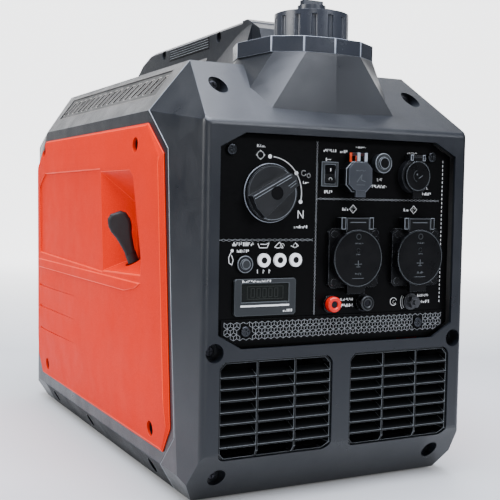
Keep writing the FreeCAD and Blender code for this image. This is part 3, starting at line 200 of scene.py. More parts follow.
def face_plate(name, colour):
    """Smooth satin faceplate with fine dust and hairline scuffs."""
    shader = Shader(name, Specular_IOR_Level=0.1)
    dust = shader.spread(shader.noise(0.0009, 3, 0.7), 0, 0.5, 0.6, 0.85)
    shader.colour(shader.blend(dust, colour, shade(colour, 3)))
    scuffs = shader.noise(0.004, 4, 0.7, (1, 1, 9))
    shader.rough(shader.spread(scuffs, 0.3, 0.46))
    shader.bump(shader.noise(0.0006, 1), 0.05, 0.0002)
    return shader.material


def display_glass(name, colour):
    shader = Shader(name, Specular_IOR_Level=0.2)
    cloud = shader.spread(shader.noise(0.02, 2), 0, 1)
    shader.colour(shader.blend(cloud, colour, shade(colour, 1.6)))
    shader.rough(shader.spread(shader.noise(0.01, 3), 0.12, 0.22))
    return shader.material


def braided(name, colour):
    """Braided cord: diagonal plaits from two crossed wave textures."""
    shader = Shader(name, Specular_IOR_Level=0.2, Sheen_Weight=0.3)
    wave = shader.add("ShaderNodeTexWave", bands_direction="DIAGONAL")
    wave.inputs["Scale"].default_value = 260
    wave.inputs["Distortion"].default_value = 1.5
    shader.links.new(shader.place, wave.inputs["Vector"])
    shader.colour(shader.blend(wave.outputs["Fac"], shade(colour, 0.45), colour))
    shader.rough(shader.spread(shader.noise(0.002, 2), 0.7, 0.9))
    shader.bump(wave.outputs["Fac"], 0.6, 0.0006)
    return shader.material


def wire_mesh(name, colour):
    """Spark arrester screen: a fine checker of bright wire and dark gaps."""
    shader = Shader(name, Metallic=0.8)
    cells = shader.add("ShaderNodeTexChecker")
    cells.inputs["Scale"].default_value = 900
    shader.links.new(shader.place, cells.inputs["Vector"])
    shader.colour(shader.blend(cells.outputs["Fac"], shade(colour, 0.1), colour))
    shader.rough(shader.spread(shader.noise(0.002, 3), 0.35, 0.6))
    shader.bump(cells.outputs["Fac"], 0.5, 0.0005)
    return shader.material


CASING = moulded_plastic("casing_plastic", srgb(21, 24, 29), 0.34, 0.3)
# Lighter plastic for the bevels of the casing: a painted highlight along its rounded edges.
CASING_HIGHLIGHT = moulded_plastic("casing_painted_highlight", srgb(70, 75, 84), 0.3, 0.2)
COLLAR = moulded_plastic("collar_plastic", srgb(42, 45, 51), 0.22, 0.1)
# Pale bevels of the filler collar: painted highlight lines along its facets' edges.
COLLAR_HIGHLIGHT = moulded_plastic("collar_painted_highlight", srgb(150, 156, 166), 0.25, 0.1)
RED = moulded_plastic("red_plastic", srgb(206, 32, 5), 0.4, 0.1, 0.04, 0.02)
# Lighter, glossier red on the side panels' bevels: a painted highlight along their edges.
RED_HIGHLIGHT = moulded_plastic("red_painted_highlight", srgb(232, 56, 14), 0.36, 0.1, 0.04, 0.12)
BLACK = moulded_plastic("black_plastic", srgb(18, 19, 21), 0.34, 0.2)
# Pale grey bevels of the black knobs, lids and sockets: painted highlights along their edges.
BLACK_HIGHLIGHT = moulded_plastic("black_painted_highlight", srgb(128, 133, 140), 0.3, 0.1)
GLOSS_BLACK = moulded_plastic("gloss_black_plastic", srgb(4, 4, 5), 0.3, 0.05, 0.08, 0.25)
# Pale bevels of the mains sockets: painted highlights along their edges.
GLOSS_HIGHLIGHT = moulded_plastic("gloss_black_painted_highlight", srgb(158, 162, 166), 0.25, 0.04)
GREY = moulded_plastic("grey_plastic", srgb(32, 35, 37), 0.36, 0.15)
COVER_GREY = moulded_plastic("cover_grey_rubber", srgb(40, 43, 48), 0.4, 0.2)
# Pale bevels of the USB cover: painted highlights along its edges.
COVER_HIGHLIGHT = moulded_plastic("cover_painted_highlight", srgb(96, 100, 108), 0.35, 0.1)
CAP = moulded_plastic("cap_plastic", srgb(46, 49, 56), 0.28, 0.12)
# Pale bevels of the fuel cap and breather lever: painted highlights along their flutes and edges.
CAP_HIGHLIGHT = moulded_plastic("cap_painted_highlight", srgb(120, 126, 136), 0.26, 0.1)
FASTENER = bare_metal("black_zinc_screw", srgb(72, 74, 78), 0.24)
TRAY = moulded_plastic("tray_plastic", srgb(14, 16, 19), 0.5, 0.3, 0.08, 0.15)
ROCKER = moulded_plastic("rocker_plastic", srgb(5, 5, 6), 0.5, 0.05, 0.08, 0.06)
PLATE = face_plate("panel_plate", srgb(3, 3, 3))
RUBBER = rubber("black_rubber", srgb(26, 26, 27))
STEEL = bare_metal("zinc_steel", srgb(196, 196, 198), 0.28)
DARK_STEEL = bare_metal("dark_steel", srgb(96, 96, 98), 0.38)
SCREW_STEEL = bare_metal("screw_steel", srgb(58, 58, 62), 0.3)
CAST = cast_metal("cast_aluminium", srgb(120, 121, 122), 0.5)
EXHAUST = cast_metal("exhaust_steel", srgb(128, 120, 108), 0.5)
COPPER = bare_metal("copper_winding", srgb(196, 118, 70), 0.35, (40, 1, 1))
CERAMIC = moulded_plastic("white_ceramic", srgb(226, 224, 216), 0.2, 0.02, 0.03)
INK = printed_ink("white_ink", srgb(238, 238, 236))
STRIP_INK = printed_ink("strip_ink", srgb(150, 152, 154))
LAMP = printed_ink("lamp_white", srgb(255, 255, 253))
GRILLE = moulded_plastic("grille_plastic", srgb(12, 13, 14), 0.4, 0.15, 0.08, 0.2)
# Pale bevels of the front grilles: painted highlights along their slats' edges.
GRILLE_HIGHLIGHT = moulded_plastic("grille_painted_highlight", srgb(112, 117, 120), 0.35, 0.1)
# Pale bevels of the roof vent strips: painted highlights along the slot edges.
VENT_SLOT_HIGHLIGHT = moulded_plastic("vent_slot_painted_highlight", srgb(176, 170, 164), 0.3, 0.1)
SEAM_EDGE = printed_ink("seam_highlight", srgb(158, 163, 168))
# Dim grey lines on the lids, the knob skirt and the meter: painted highlights along edges and on embossed
# signs.
DIM_HIGHLIGHT = printed_ink("dim_painted_highlight", srgb(84, 88, 90))
# Grey lines along the edges of knobs, buttons, sockets and grip ribs: painted highlights.
EDGE_HIGHLIGHT = printed_ink("edge_painted_highlight", srgb(132, 137, 142))
# Grey line round the roof vent strips: a painted highlight along their frame.
VENT_HIGHLIGHT = printed_ink("vent_painted_highlight", srgb(120, 116, 110))
# Near-black painted deep shade, in the inlet ducts and the middle of the switch knob.
VOID = moulded_plastic("painted_deep_shade", srgb(4, 4, 5), 0.7, 0.1, 0.08, 0.1)
ORANGE_STRIP = moulded_plastic("orange_strip", srgb(222, 70, 24), 0.4, 0.05)
PALE_STRIP = moulded_plastic("pale_strip", srgb(150, 158, 166), 0.35, 0.05)
RED_GLOSS = moulded_plastic("red_knob_plastic", srgb(214, 22, 8), 0.22, 0.03)
LCD = display_glass("display_glass", srgb(14, 16, 14))
DIGIT = printed_ink("display_digit", srgb(30, 33, 29))
CORD = braided("starter_cord", srgb(206, 204, 196))
ARRESTER = wire_mesh("arrester_mesh", srgb(150, 146, 140))


# ---------------------------------------------------------------- mesh helpers

def piece(name, bm, material, body, slot, replaces=(), smooth=32):
    """Turn a bmesh in row-frame metres into an object that rides on a body."""
    mesh = bpy.data.meshes.new(name)
    bmesh.ops.recalc_face_normals(bm, faces=bm.faces)
    bm.to_mesh(mesh)
    bm.free()
    materials = material if isinstance(material, tuple) else (material,)
    for item in materials:
        mesh.materials.append(item)
    mesh.shade_smooth()
    mesh.set_sharp_from_angle(angle=math.radians(smooth))
    obj = bpy.data.objects.new(name, mesh)
    bpy.context.scene.collection.objects.link(obj)
    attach(obj, body)
    if replaces:
        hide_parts(*replaces)
    return obj


def bevel(obj, width, segments=2, angle=30, weighted=False, edge_slot=-1):
    """Rounded edges plus normals that keep the flats flat."""
    rounding = obj.modifiers.new("rounding", "BEVEL")
    rounding.width = width
    rounding.segments = segments
    rounding.limit_method = "WEIGHT" if weighted else "ANGLE"
    rounding.angle_limit = math.radians(angle)
    rounding.use_clamp_overlap = True
    rounding.harden_normals = False
    # The bevel faces go on slot edge_slot, which skin fills with its edge material, mostly a painted
    # highlight.
    rounding.material = edge_slot
    settle = obj.modifiers.new("flat_normals", "WEIGHTED_NORMAL")
    settle.keep_sharp = True
    settle.weight = 80
    return obj


def clean_copy(node):
    """The node's own mesh with its corners joined up."""
    bm = bmesh.new()
    bm.from_mesh(frame["nodes"][node].data)
    bmesh.ops.remove_doubles(bm, verts=bm.verts, dist=2e-6)
    bm.normal_update()
    return bm


def skin(node, material, edge_material, width, slot=None, segments=2, angle=30, rule=None, crisp=42):
    """A rounded double of a CAD node that stands for it. rule gives an edge's share of the width."""
    bm = clean_copy(node)
    if rule:
        layer = bm.edges.layers.float.new("bevel_weight_edge")
        for edge in bm.edges:
            edge[layer] = rule(edge)
    slot = slot or SLOT[node]
    obj = piece(f"{node}_skin", bm, (material, edge_material), NODE_BODY[node], slot, (node,), crisp)
    for polygon in obj.data.polygons:
        polygon.material_index = 0
    # Slot 1 holds edge_material, put on the bevel faces: a painted highlight wherever it is lighter than the
    # body.
    return bevel(obj, width, segments, angle, bool(rule), 1)


def paint(node, material):
    """Give a carried CAD node a better material."""
    obj = frame["nodes"][node]
    if not obj.material_slots:
        obj.data.materials.append(material)
    for slot in obj.material_slots:
        slot.link = "OBJECT"
        slot.material = material


# ---------------------------------------------------------------- casing

DOME_FOOT, DOME_REAR, DOME_HALF = 0.318, -0.135, 0.094
FRONT_FACE = -0.2485
OPENINGS_LOW, OPENINGS_HIGH, OPENINGS_HALF = 0.04, 0.317, 0.1215
BROAD_FACE = 1.5e-4
SHARP, SLIGHT = 28, 6       # degrees


def hull_ridge(edge):
    """Full width on the dome's ridges, less on other long ridges and round the front's openings."""
    if len(edge.link_faces) != 2:
        return 0
    turn = math.degrees(edge.calc_face_angle(0))
    middle = (edge.verts[0].co + edge.verts[1].co) / 2
    on_dome = middle.z > DOME_FOOT and middle.y < DOME_REAR and abs(middle.x) < DOME_HALF
    by_openings = OPENINGS_LOW < middle.z < OPENINGS_HIGH and abs(middle.x) < OPENINGS_HALF
    if middle.y < FRONT_FACE and by_openings and turn > SHARP:
        return 0.17
    broad = min(face.calc_area() for face in edge.link_faces) > BROAD_FACE and edge.calc_length() > LONG_EDGE
    if broad and edge.is_convex and turn > SLIGHT:
        return 1 if on_dome and turn < 60 else 0.375
    return 0.075 if turn > SHARP else 0


# The second material of each skin goes on its rounded edges; where it is lighter than the first it is a
# painted highlight.
skin("front_shroud", CASING, CASING_HIGHLIGHT, 8 * MM, rule=hull_ridge, segments=4)
skin("rear_shroud", CASING, CASING_HIGHLIGHT, 8 * MM, rule=hull_ridge, segments=4)
skin("centre_cover", CASING, CASING_HIGHLIGHT, 8 * MM, rule=hull_ridge, segments=4)
skin("base_tray", TRAY, CASING_HIGHLIGHT, 0.8 * MM)
skin("left_side_panel", RED, RED_HIGHLIGHT, 6 * MM, rule=hull_ridge, segments=3)
skin("right_side_panel", RED, RED_HIGHLIGHT, 6 * MM, rule=hull_ridge, segments=3)
skin("vent_strips", GRILLE, VENT_SLOT_HIGHLIGHT, 0.5 * MM, segments=1)
skin("carry_handle", CASING, CASING_HIGHLIGHT, 1.6 * MM, segments=3)
skin("handle_grips", RUBBER, RUBBER, 0.4 * MM)
skin("filler_collar", COLLAR, COLLAR_HIGHLIGHT, 0.7 * MM, angle=12, crisp=12)
skin("front_grilles", GRILLE, GRILLE_HIGHLIGHT, 0.2 * MM, segments=1)
skin("rubber_feet", RUBBER, RUBBER, 1.2 * MM)
for screws in ("casing_screws", "handle_screws"):
    skin(screws, SCREW_STEEL, SCREW_STEEL, 0.25 * MM)
skin("panel_screws", FASTENER, SEAM_EDGE, 0.35 * MM)


# ---------------------------------------------------------------- controls

# The second material of each skin goes on its rounded edges; where it is lighter than the first it is a
# painted highlight.
skin("switch_bezel", GLOSS_BLACK, BLACK_HIGHLIGHT, 0.6 * MM)
skin("switch_knob", BLACK, BLACK_HIGHLIGHT, 0.8 * MM, segments=3)
skin("rocker_bezel", GREY, BLACK_HIGHLIGHT, 0.4 * MM)
skin("eco_rocker", ROCKER, GREY, 0.4 * MM)
skin("usb_socket", GLOSS_BLACK, BLACK_HIGHLIGHT, 1.1 * MM, segments=3)
skin("usb_cover", COVER_GREY, COVER_HIGHLIGHT, 0.7 * MM, segments=3)
skin("breaker_body", GREY, SEAM_EDGE, 0.5 * MM)
skin("breaker_button", GLOSS_BLACK, BLACK_HIGHLIGHT, 0.8 * MM, segments=3)
skin("reset_bezel", FASTENER, SEAM_EDGE, 0.6 * MM)
skin("reset_button", GREY, SEAM_EDGE, 0.6 * MM, segments=3)
skin("run_meter", GREY, DIM_HIGHLIGHT, 0.4 * MM)
skin("dc_socket", BLACK, BLACK_HIGHLIGHT, 0.9 * MM, segments=3)
skin("dc_lid", GLOSS_BLACK, BLACK_HIGHLIGHT, 0.6 * MM)
skin("ac_sockets", GLOSS_BLACK, GLOSS_HIGHLIGHT, 0.5 * MM)
skin("ac_lid_one", GLOSS_BLACK, BLACK_HIGHLIGHT, 0.6 * MM)
skin("ac_lid_two", GLOSS_BLACK, BLACK_HIGHLIGHT, 0.6 * MM)
skin("terminal_posts", SCREW_STEEL, STEEL, 0.5 * MM)
skin("red_terminal_knob", RED_GLOSS, RED_GLOSS, 1.4 * MM, segments=4)
skin("black_terminal_knob", GLOSS_BLACK, GREY, 1.2 * MM, segments=4)
skin("earth_terminal", DARK_STEEL, SEAM_EDGE, 0.4 * MM)
skin("indicator_lamps", LAMP, LAMP, 0.7 * MM, segments=3)
skin("fuel_cap", CAP, CAP_HIGHLIGHT, 2.2 * MM, segments=4)
skin("breather_lever", CAP, CAP_HIGHLIGHT, 1.2 * MM, segments=3)
skin("starter_grip", RUBBER, RUBBER, 1.5 * MM, segments=3)


# ---------------------------------------------------------------- nodes that keep their CAD mesh

for node, material in {
    "control_panel": PLATE, "pattern_strip": PLATE, "fuel_tank": BLACK,
    "recoil_reel": BLACK, "recoil_housing": DARK_STEEL, "starter_rope": CORD,
    "crankshaft": DARK_STEEL, "cooling_fan": CAST, "alternator_rotor": DARK_STEEL,
    "alternator_stator": COPPER, "engine_block": CAST, "cylinder_head": CAST,
    "spark_plug": CERAMIC, "carburettor": CAST, "air_cleaner": BLACK, "muffler": EXHAUST,
    "exhaust_outlet": EXHAUST, "engine_frame": DARK_STEEL, "engine_bushes": RUBBER,
    "inverter_module": CAST, "oil_filler": BLACK,
}.items():
    paint(node, material)


# ---------------------------------------------------------------- print on the panel, painted highlights and painted shade

PLATE_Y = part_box("control_panel")[0].y


class Print:
    """Flat marks a hair proud of a plane, in millimetres along its right and up directions."""

    def __init__(self, name, material, y=0, body="machine", slot=None, plane=None):
        self.bm = bmesh.new()
        self.name, self.material, self.body, self.slot = name, material, body, slot
        self.origin, self.right, self.up = plane or (Vector((0, y, 0)), Vector((1, 0, 0)), Vector((0, 0, 1)))
        self.out = self.right.cross(self.up)

    def plate(self, corners, proud=0.12):
        flat = [self.origin + self.right * x * MM + self.up * z * MM for x, z in corners]
        low = [self.bm.verts.new(at) for at in flat]
        high = [self.bm.verts.new(at + self.out * proud * MM) for at in flat]
        self.bm.faces.new(high)
        for i in range(len(low)):
            self.bm.faces.new((low[i - 1], low[i], high[i], high[i - 1]))

    def line(self, start, end, width):
        run = Vector(end) - Vector(start)
        if run.length < 1e-6:
            return
        side = Vector((-run.y, run.x)).normalized() * width / 2
        reach = run.normalized() * width * 0.3
        a, b = Vector(start) - reach, Vector(end) + reach
        self.plate([a + side, a - side, b - side, b + side])

    def path(self, points, width):
        for start, end in zip(points, points[1:]):
            self.line(start, end, width)

    def outline(self, left, right, low, high, width):
        self.path([(left, low), (right, low), (right, high), (left, high), (left, low)], width)

    def disc(self, centre, radius, sides=20):
        turn = [2 * math.pi * i / sides for i in range(sides)]
        self.plate([(centre[0] + radius * math.cos(t), centre[1] + radius * math.sin(t)) for t in turn])

    def arc(self, centre, radius, start, end, width, steps=24):
        turn = [math.radians(start + (end - start) * i / steps) for i in range(steps + 1)]
        self.path([(centre[0] + radius * math.cos(t), centre[1] + radius * math.sin(t)) for t in turn], width)

    def caption(self, x, z, long, tall=2.1):
        """A row of plain bars in place of a caption, read at a glance as a printed line."""
        at = x - long / 2
        while at < x + long / 2:
            wide = random.choice((0.45, 0.5, 0.9, 1.1))
            low = random.choice((0, 0, 0.35)) * tall
            high = random.choice((1, 1, 0.6)) * tall
            self.plate([(at, z + low), (at, z + high), (at + wide, z + high), (at + wide, z + low)])
            if wide < 0.8 and random.random() < 0.6:
                level = z + random.choice((0.1, 0.5, 0.9)) * tall
                self.line((at, level), (at + 1.3, level), 0.35)
                wide = 1.4
            at += wide + random.choice((0.45, 0.6))

    def chain(self, start, end, pitch, swing, width):
        """Two thin wavy strands that cross, used as a divider between panel fields."""
        a, b = Vector(start), Vector(end)
        count = max(2, round((b - a).length / pitch))
        across = Vector((a.y - b.y, b.x - a.x)).normalized() * swing
        for sign in (-1, 1):
            self.path([a + (b - a) * i / count + across * sign * (1 if i % 2 else -1)
                       for i in range(count + 1)], width)

    def finish(self):
        piece(self.name, self.bm, self.material, self.body, self.slot)


def print_panel():
    ink = Print("panel_print", INK, PLATE_Y)
    # engine switch: three stops on an arc
    off, middle, run = 91, 34.5, -13
    dial = 30.6
    for angle in (off, middle, run):
        t = math.radians(angle)
        ink.disc((SWITCH[0] + dial * math.cos(t), SWITCH[1] + dial * math.sin(t)), 1.75)
    ink.arc(SWITCH, dial, off - 7, middle, 0.75)
    ink.arc(SWITCH, dial, middle, run, 0.9)
    ink.arc((-79.5, 295.6), 3.1, 0, 360, 0.6)
    ink.path([(-79.5, 299.6), (-75.4, 295.6), (-79.5, 291.6), (-83.6, 295.6), (-79.5, 299.6)], 0.4)
    ink.caption(-79.5, 302, 7, 2.2)
    ink.arc((-37.5, 281.6), 2.2, 50, 330, 0.7)
    ink.arc((-32.6, 279.6), 1.6, 0, 360, 0.7)
    ink.caption(-35.5, 272.6, 5, 2.2)
    ink.path([(-42.4, 243), (-42.4, 249.6), (-37.4, 243), (-37.4, 249.6)], 0.62)
    ink.caption(-39.6, 234.5, 13, 2.4)
    # dashed line down the right side
    for i in range(35):
        z = 166 + 3.8 * i
        ink.line((111.5, z), (111.5, z + 1.7), 0.5)
    # upper row
    ink.caption(-12, 300.6, 12, 2.4)
    ink.caption(2.2, 300.2, 7, 2.6)
    ink.caption(-13, 292.8, 5.4, 2.6)
    ink.caption(-12.6, 264.8, 8, 2.6)
    ink.caption(20, 305, 10, 1.4)
    ink.caption(40.5, 276.6, 4.4, 2.6)
    ink.caption(40.8, 270.6, 15.5, 2.6)
    ink.caption(76, 302.2, 11, 1.3)
    ink.arc((91.5, 297), 2.1, 30, 190, 0.8)
    ink.caption(91.5, 270.4, 4, 2.6)
    ink.caption(91.5, 265, 13, 2.4)
    # mains sockets
    for x, z in ((13.5, 251.5), (79.5, 251.5)):
        ink.path([(x, z + 3.6), (x + 3.6, z), (x, z - 3.6), (x - 3.6, z), (x, z + 3.6)], 0.55)
        ink.arc((x, z), 1.3, 20, 250, 0.5)
        ink.caption(x - 8.4, z - 1.5, 5.6, 2.6)
    # terminals
    ink.caption(8.5, 170.6, 13, 2.2)
    ink.caption(8.5, 165, 13, 2.8)
    ink.arc((59.5, 168), 3.5, 20, 320, 0.55)
    ink.arc((60.5, 167.5), 1.5, 90, 330, 0.45)
    for radius in (7, 9, 11):
        ink.arc((78.5, 167.4), radius, 150, 215, 0.55)
    ink.caption(92.5, 171.6, 12.5, 2.2)
    ink.caption(93, 165.6, 13, 2.6)
    # lamps, reset button and meter
    ink.caption(-94.5, 219.6, 20, 3)
    ink.caption(-94.5, 214.2, 11, 2.4)
    flame = [(-105.5, 214.5), (-107.6, 210), (-107.2, 205.6), (-104.6, 204), (-103.4, 208), (-105, 212)]
    ink.path(flame, 0.55)
    ink.disc((-104.4, 215.8), 1.3)
    ink.path([(-80.5, 221.4), (-79, 218), (-71.8, 218), (-70, 222), (-73, 220.8), (-78, 221)], 0.6)
    ink.path([(-64.5, 218.5), (-60, 222.6), (-56.6, 218.6), (-61.8, 217.6), (-64.5, 218.5)], 0.6)
    ink.arc((-57.2, 219.5), 1.9, 0, 300, 0.5)
    ink.path([(-48.6, 219.5), (-45, 217.8), (-41.4, 219.5), (-44.5, 222)], 0.6)
    ink.arc((-44.6, 219.6), 1.7, 120, 400, 0.5)
    for x in (-80.6, -75.2, -69.6):
        ink.line((x, 196.6), (x, 199.6), 0.6)
    for x in (-75.2, -69.6):
        ink.line((x, 199.6), (x + 1.2, 198.4), 0.5)
    ink.finish()
    dim = Print("panel_dividers", STRIP_INK, PLATE_Y)
    dim.chain((-24.5, 309), (-24.5, 159.5), 3.2, 0.75, 0.17)
    dim.chain((-24.5, 260), (108, 260), 4.4, 0.8, 0.2)
    dim.chain((-118, 224.5), (-27, 224.5), 5.5, 0.95, 0.22)
    dim.finish()


def print_strip():
    """Stacked-cube pattern in thin pale lines on the strip under the devices."""
    low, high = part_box("pattern_strip")
    left, right, bottom, top = (v / MM for v in (low.x, high.x, low.z, high.z))
    ink = Print("strip_pattern", STRIP_INK, low.y)
    lean = 14
    screws, clear_of_screw = ((-91.7, 148.2), (86, 148.2)), 5.6

    def inside(x, z):
        """Whether a point is on the strip, off its cut corners and clear of its screws."""
        if not (left + 0.6 < x < right - 0.6 and bottom + 0.6 < z < top - 0.4):
            return False
        if any(math.hypot(x - sx, z - sz) < clear_of_screw for sx, sz in screws):
            return False
        corner = max(left + lean - x, x - right + lean, 0)
        return z > bottom + 0.8 + corner * 6 / lean

    across = 5.9
    step = across * math.sqrt(3) / 2
    side = across / math.sqrt(3)
    rows = math.ceil((top - bottom) / step) + 2
    for row in range(rows):
        z = bottom - 1 + row * step
        x = left - across + (across / 2 if row % 2 else 0)
        while x < right + across:
            spokes = [(side * math.cos(math.radians(a)), side * math.sin(math.radians(a)))
                      for a in (90, 210, 330)]
            for dx, dz in spokes:
                if inside(x, z) and inside(x + dx, z + dz):
                    ink.line((x, z), (x + dx, z + dz), 0.3)
            corners = [(x + side * math.cos(math.radians(a)), z + side * math.sin(math.radians(a)))
                       for a in (90, 30, -30, -90)]
            for start, end in zip(corners, corners[1:]):
                if inside(*start) and inside(*end):
                    ink.line(start, end, 0.3)
            x += across
    ink.finish()


print_panel()
print_strip()


def meter_face():
    low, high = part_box("run_meter")
    x, z = (low.x + high.x) / 2 / MM, (low.z + high.z) / 2 / MM
    glass = Print("meter_display", LCD, low.y + 0.9 * MM, slot="meter")
    glass.plate([(x - 22.3, z - 3.8), (x + 22.3, z - 3.8), (x + 22.3, z + 11.3), (x - 22.3, z + 11.3)], 0.3)
    glass.finish()
    digits = Print("meter_digits", DIGIT, low.y + 0.6 * MM, slot="meter")
    digits.outline(x - 17, x + 17, z - 1.5, z + 9, 0.5)
    for i in range(5):
        left, right = x - 13.5 + i * 5.6, x - 10.4 + i * 5.6
        digits.path([(left, z), (left, z + 7.4), (right, z + 7.4), (right, z), (left, z)], 0.55)
    digits.finish()
    marks = Print("meter_print", INK, low.y)
    marks.line((x - 23, z - 7.2), (x + 22.4, z - 7.2), 1.5)
    marks.caption(x - 9, z + 12.6, 26, 1.9)
    marks.caption(x + 21.5, z - 13, 9, 2.2)
    marks.finish()


meter_face()


def lamp_centres():
    """The dark middles that make rings of the lamps."""
    low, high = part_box("indicator_lamps")
    z = (low.z + high.z) / 2 / MM
    lamp_radius, lamp_pitch = 5.8, 15.3
    dark = Print("lamp_centres", GLOSS_BLACK, low.y)
    for i in range(3):
        dark.disc((low.x / MM + lamp_radius + lamp_pitch * i, z), 2.7, 24)
    dark.finish()


lamp_centres()


def outlet_marks(node, x):
    """Painted highlights on a mains lid: thin lines round its plate and hinge block, and grey marks for its
    small embossed signs.
    """
    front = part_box(node)[0].y
    z, rim = 208.5, 24.3
    lines = Print(f"{node}_edge_highlight_lines", DIM_HIGHLIGHT, front, node)
    lines.arc((x, z), rim, 0, 360, 0.36, 64)
    # A brighter stretch of the painted highlight on one side of the rim.
    lines.arc((x, z), rim, 100, 170, 0.5, 24)
    lines.finish()
    signs = Print(f"{node}_signs", DIM_HIGHLIGHT, front, node)
    signs.arc((x, z + 19), 2.3, 0, 360, 0.75)
    signs.caption(x, z + 12.6, 7, 1)
    signs.arc((x, z + 7), 1.7, 40, 300, 0.6)
    signs.caption(x, z + 3, 4, 0.9)
    signs.line((x, z - 2), (x, z - 6.5), 0.6)
    signs.line((x - 3.5, z - 5), (x + 3.5, z - 5), 0.45)
    signs.line((x - 2, z - 7.4), (x + 2, z - 7.4), 0.45)
    signs.caption(x, z - 14.5, 6, 1.8)
    signs.line((x - 6, z - 17.5), (x + 6, z - 17.5), 0.4)
    signs.finish()
    block = Print(f"{node}_hinge_lines", DIM_HIGHLIGHT, front + 1.5 * MM, node)
    block.path([(x - 11.4, z + 25), (x - 11.4, z + 34.8), (x + 11.4, z + 34.8), (x + 11.4, z + 25)], 0.35)
    block.line((x - 8, z + 31.5), (x + 8, z + 31.5), 0.7)
    block.finish()


def knob_marks():
    """Painted highlight lines on the engine switch along its pointer and round its skirt, and the plug in its
    middle.
    """
    front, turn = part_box("switch_knob")[0].y, math.radians(35)
    right = Vector((math.cos(turn), 0, math.sin(turn)))
    up = Vector((-math.sin(turn), 0, math.cos(turn)))
    plane = (Vector((SWITCH[0] * MM, front, SWITCH[1] * MM)), right, up)
    lines = Print("knob_highlight_lines", EDGE_HIGHLIGHT, body="switch", plane=plane)
    lines.line((-19.6, 10.1), (19.2, 5.4), 0.5)
    lines.line((-19.8, 7.6), (18.6, 3.4), 0.35)
    lines.line((12, -1.2), (20.6, -1.2), 0.35)
    lines.line((13, -3.2), (19.4, -3.2), 0.3)
    lines.finish()
    plug = Print("knob_plug", VOID, body="switch", plane=plane)
    plug.disc((0, 0), 5.7, 32)
    plug.finish()
    skirt, skirt_radius = front + 8 * MM, 22.3
    # A painted highlight round the knob's skirt: brighter on one side, dim on the other.
    bright = Print("knob_rim_highlight", EDGE_HIGHLIGHT, skirt, "switch")
    bright.arc(SWITCH, skirt_radius, -130, 60, 0.5, 48)
    bright.finish()
    dull = Print("knob_rim_shade", DIM_HIGHLIGHT, skirt, "switch")
    dull.arc(SWITCH, skirt_radius, 60, 230, 0.3, 48)
    dull.finish()


def usb_straps():
    """Pale pull strips on the cover and the orange ones behind them."""
    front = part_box("usb_cover")[0].y
    pale = Print("usb_pale_strips", PALE_STRIP, front + 0.8 * MM, "usb_cover")
    for left in (8.8, 16.3):
        pale.plate([(left, 293), (left + 2.8, 293), (left + 2.8, 300.3), (left, 300.3)], 0.25)
    pale.finish()
    orange = Print("usb_orange_strips", ORANGE_STRIP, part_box("control_panel")[0].y - 4 * MM)
    for left, wide in ((12.1, 3.7), (6.2, 2.2)):
        orange.plate([(left, 291.6), (left + wide, 291.6), (left + wide, 300.6), (left, 300.6)], 0.3)
    orange.finish()
    signs = Print("usb_cover_signs", DIM_HIGHLIGHT, front, "usb_cover")
    signs.caption(12.2, 284.5, 10, 0.9)
    signs.path([(8.5, 275), (13.5, 281.5), (12.5, 277), (17, 275.5)], 0.5)
    signs.line((8, 272.6), (16.4, 272.6), 0.4)
    signs.finish()


def rocker_marks():
    """The on and off signs on the two halves of the rocker."""
    low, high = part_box("eco_rocker")
    x, z = (low.x + high.x) / 2 / MM, (low.z + high.z) / 2 / MM
    marks = Print("rocker_marks", INK, low.y + 0.7 * MM, "eco_rocker")
    marks.line((x, z + 2.6), (x, z + 5.4), 0.7)
    marks.arc((x, z - 4.6), 1.5, 0, 360, 0.55)
    marks.finish()


def dc_marks():
    """Painted highlights on the round lid: a line round its rim and a small generic sign."""
    front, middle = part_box("dc_lid")[0].y, (76.2, 282)
    lines = Print("dc_lid_lines", DIM_HIGHLIGHT, front, "dc_lid")
    lines.arc(middle, 12.9, 0, 360, 0.4, 48)
    lines.finish()
    signs = Print("dc_lid_signs", DIM_HIGHLIGHT, front, "dc_lid")
    signs.arc(middle, 5, 110, 250, 0.6)
    signs.line((77, 280), (81, 282.6), 0.6)
    signs.disc((75, 283.4), 0.8)
    signs.finish()


def bright_edges(name, node, material, width, chosen):
    """A thin bead of light along some edges of a CAD node, sunk into its corners."""
    source, bm = clean_copy(node), bmesh.new()
    for edge in source.edges:
        if len(edge.link_faces) != 2 or not edge.is_convex or not chosen(edge):
            continue
        a, b = (vert.co.copy() for vert in edge.verts)
        along = (b - a).normalized()
        out = (edge.link_faces[0].normal + edge.link_faces[1].normal).normalized()
        side = along.cross(out)
        corners = ((-0.9, -0.5), (-0.9, 0.5), (0, 0.5), (0, -0.5))
        ring = [out * u * width + side * v * width for u, v in corners]
        ends = [[bm.verts.new(at + shift) for shift in ring] for at in (a, b)]
        for i in range(4):
            bm.faces.new((ends[0][i - 1], ends[0][i], ends[1][i], ends[1][i - 1]))
        bm.faces.new(ends[0][::-1])
        bm.faces.new(ends[1])
    source.free()
    if bm.faces:
        piece(name, bm, material, NODE_BODY[node], None)
    else:
        bm.free()


def front_outline(node, turn=50):
    """A test for the sharp edges that bound a node's foremost faces."""
    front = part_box(node)[0].y + 0.2 * MM

    def chosen(edge):
        return all(vert.co.y < front for vert in edge.verts) and math.degrees(edge.calc_face_angle(0)) > turn
    return chosen


def button_rims():
    """A painted highlight ring inside the rim of each push button, clear of the bore that it slides in."""
    for node, radius in (("breaker_button", 4.8), ("reset_button", 3.6)):
        low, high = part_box(node)
        rim = Print(f"{node}_outline", EDGE_HIGHLIGHT, low.y, node)
        rim.arc(((low.x + high.x) / 2 / MM, (low.z + high.z) / 2 / MM), radius, 0, 360, 0.5, 32)
        rim.finish()


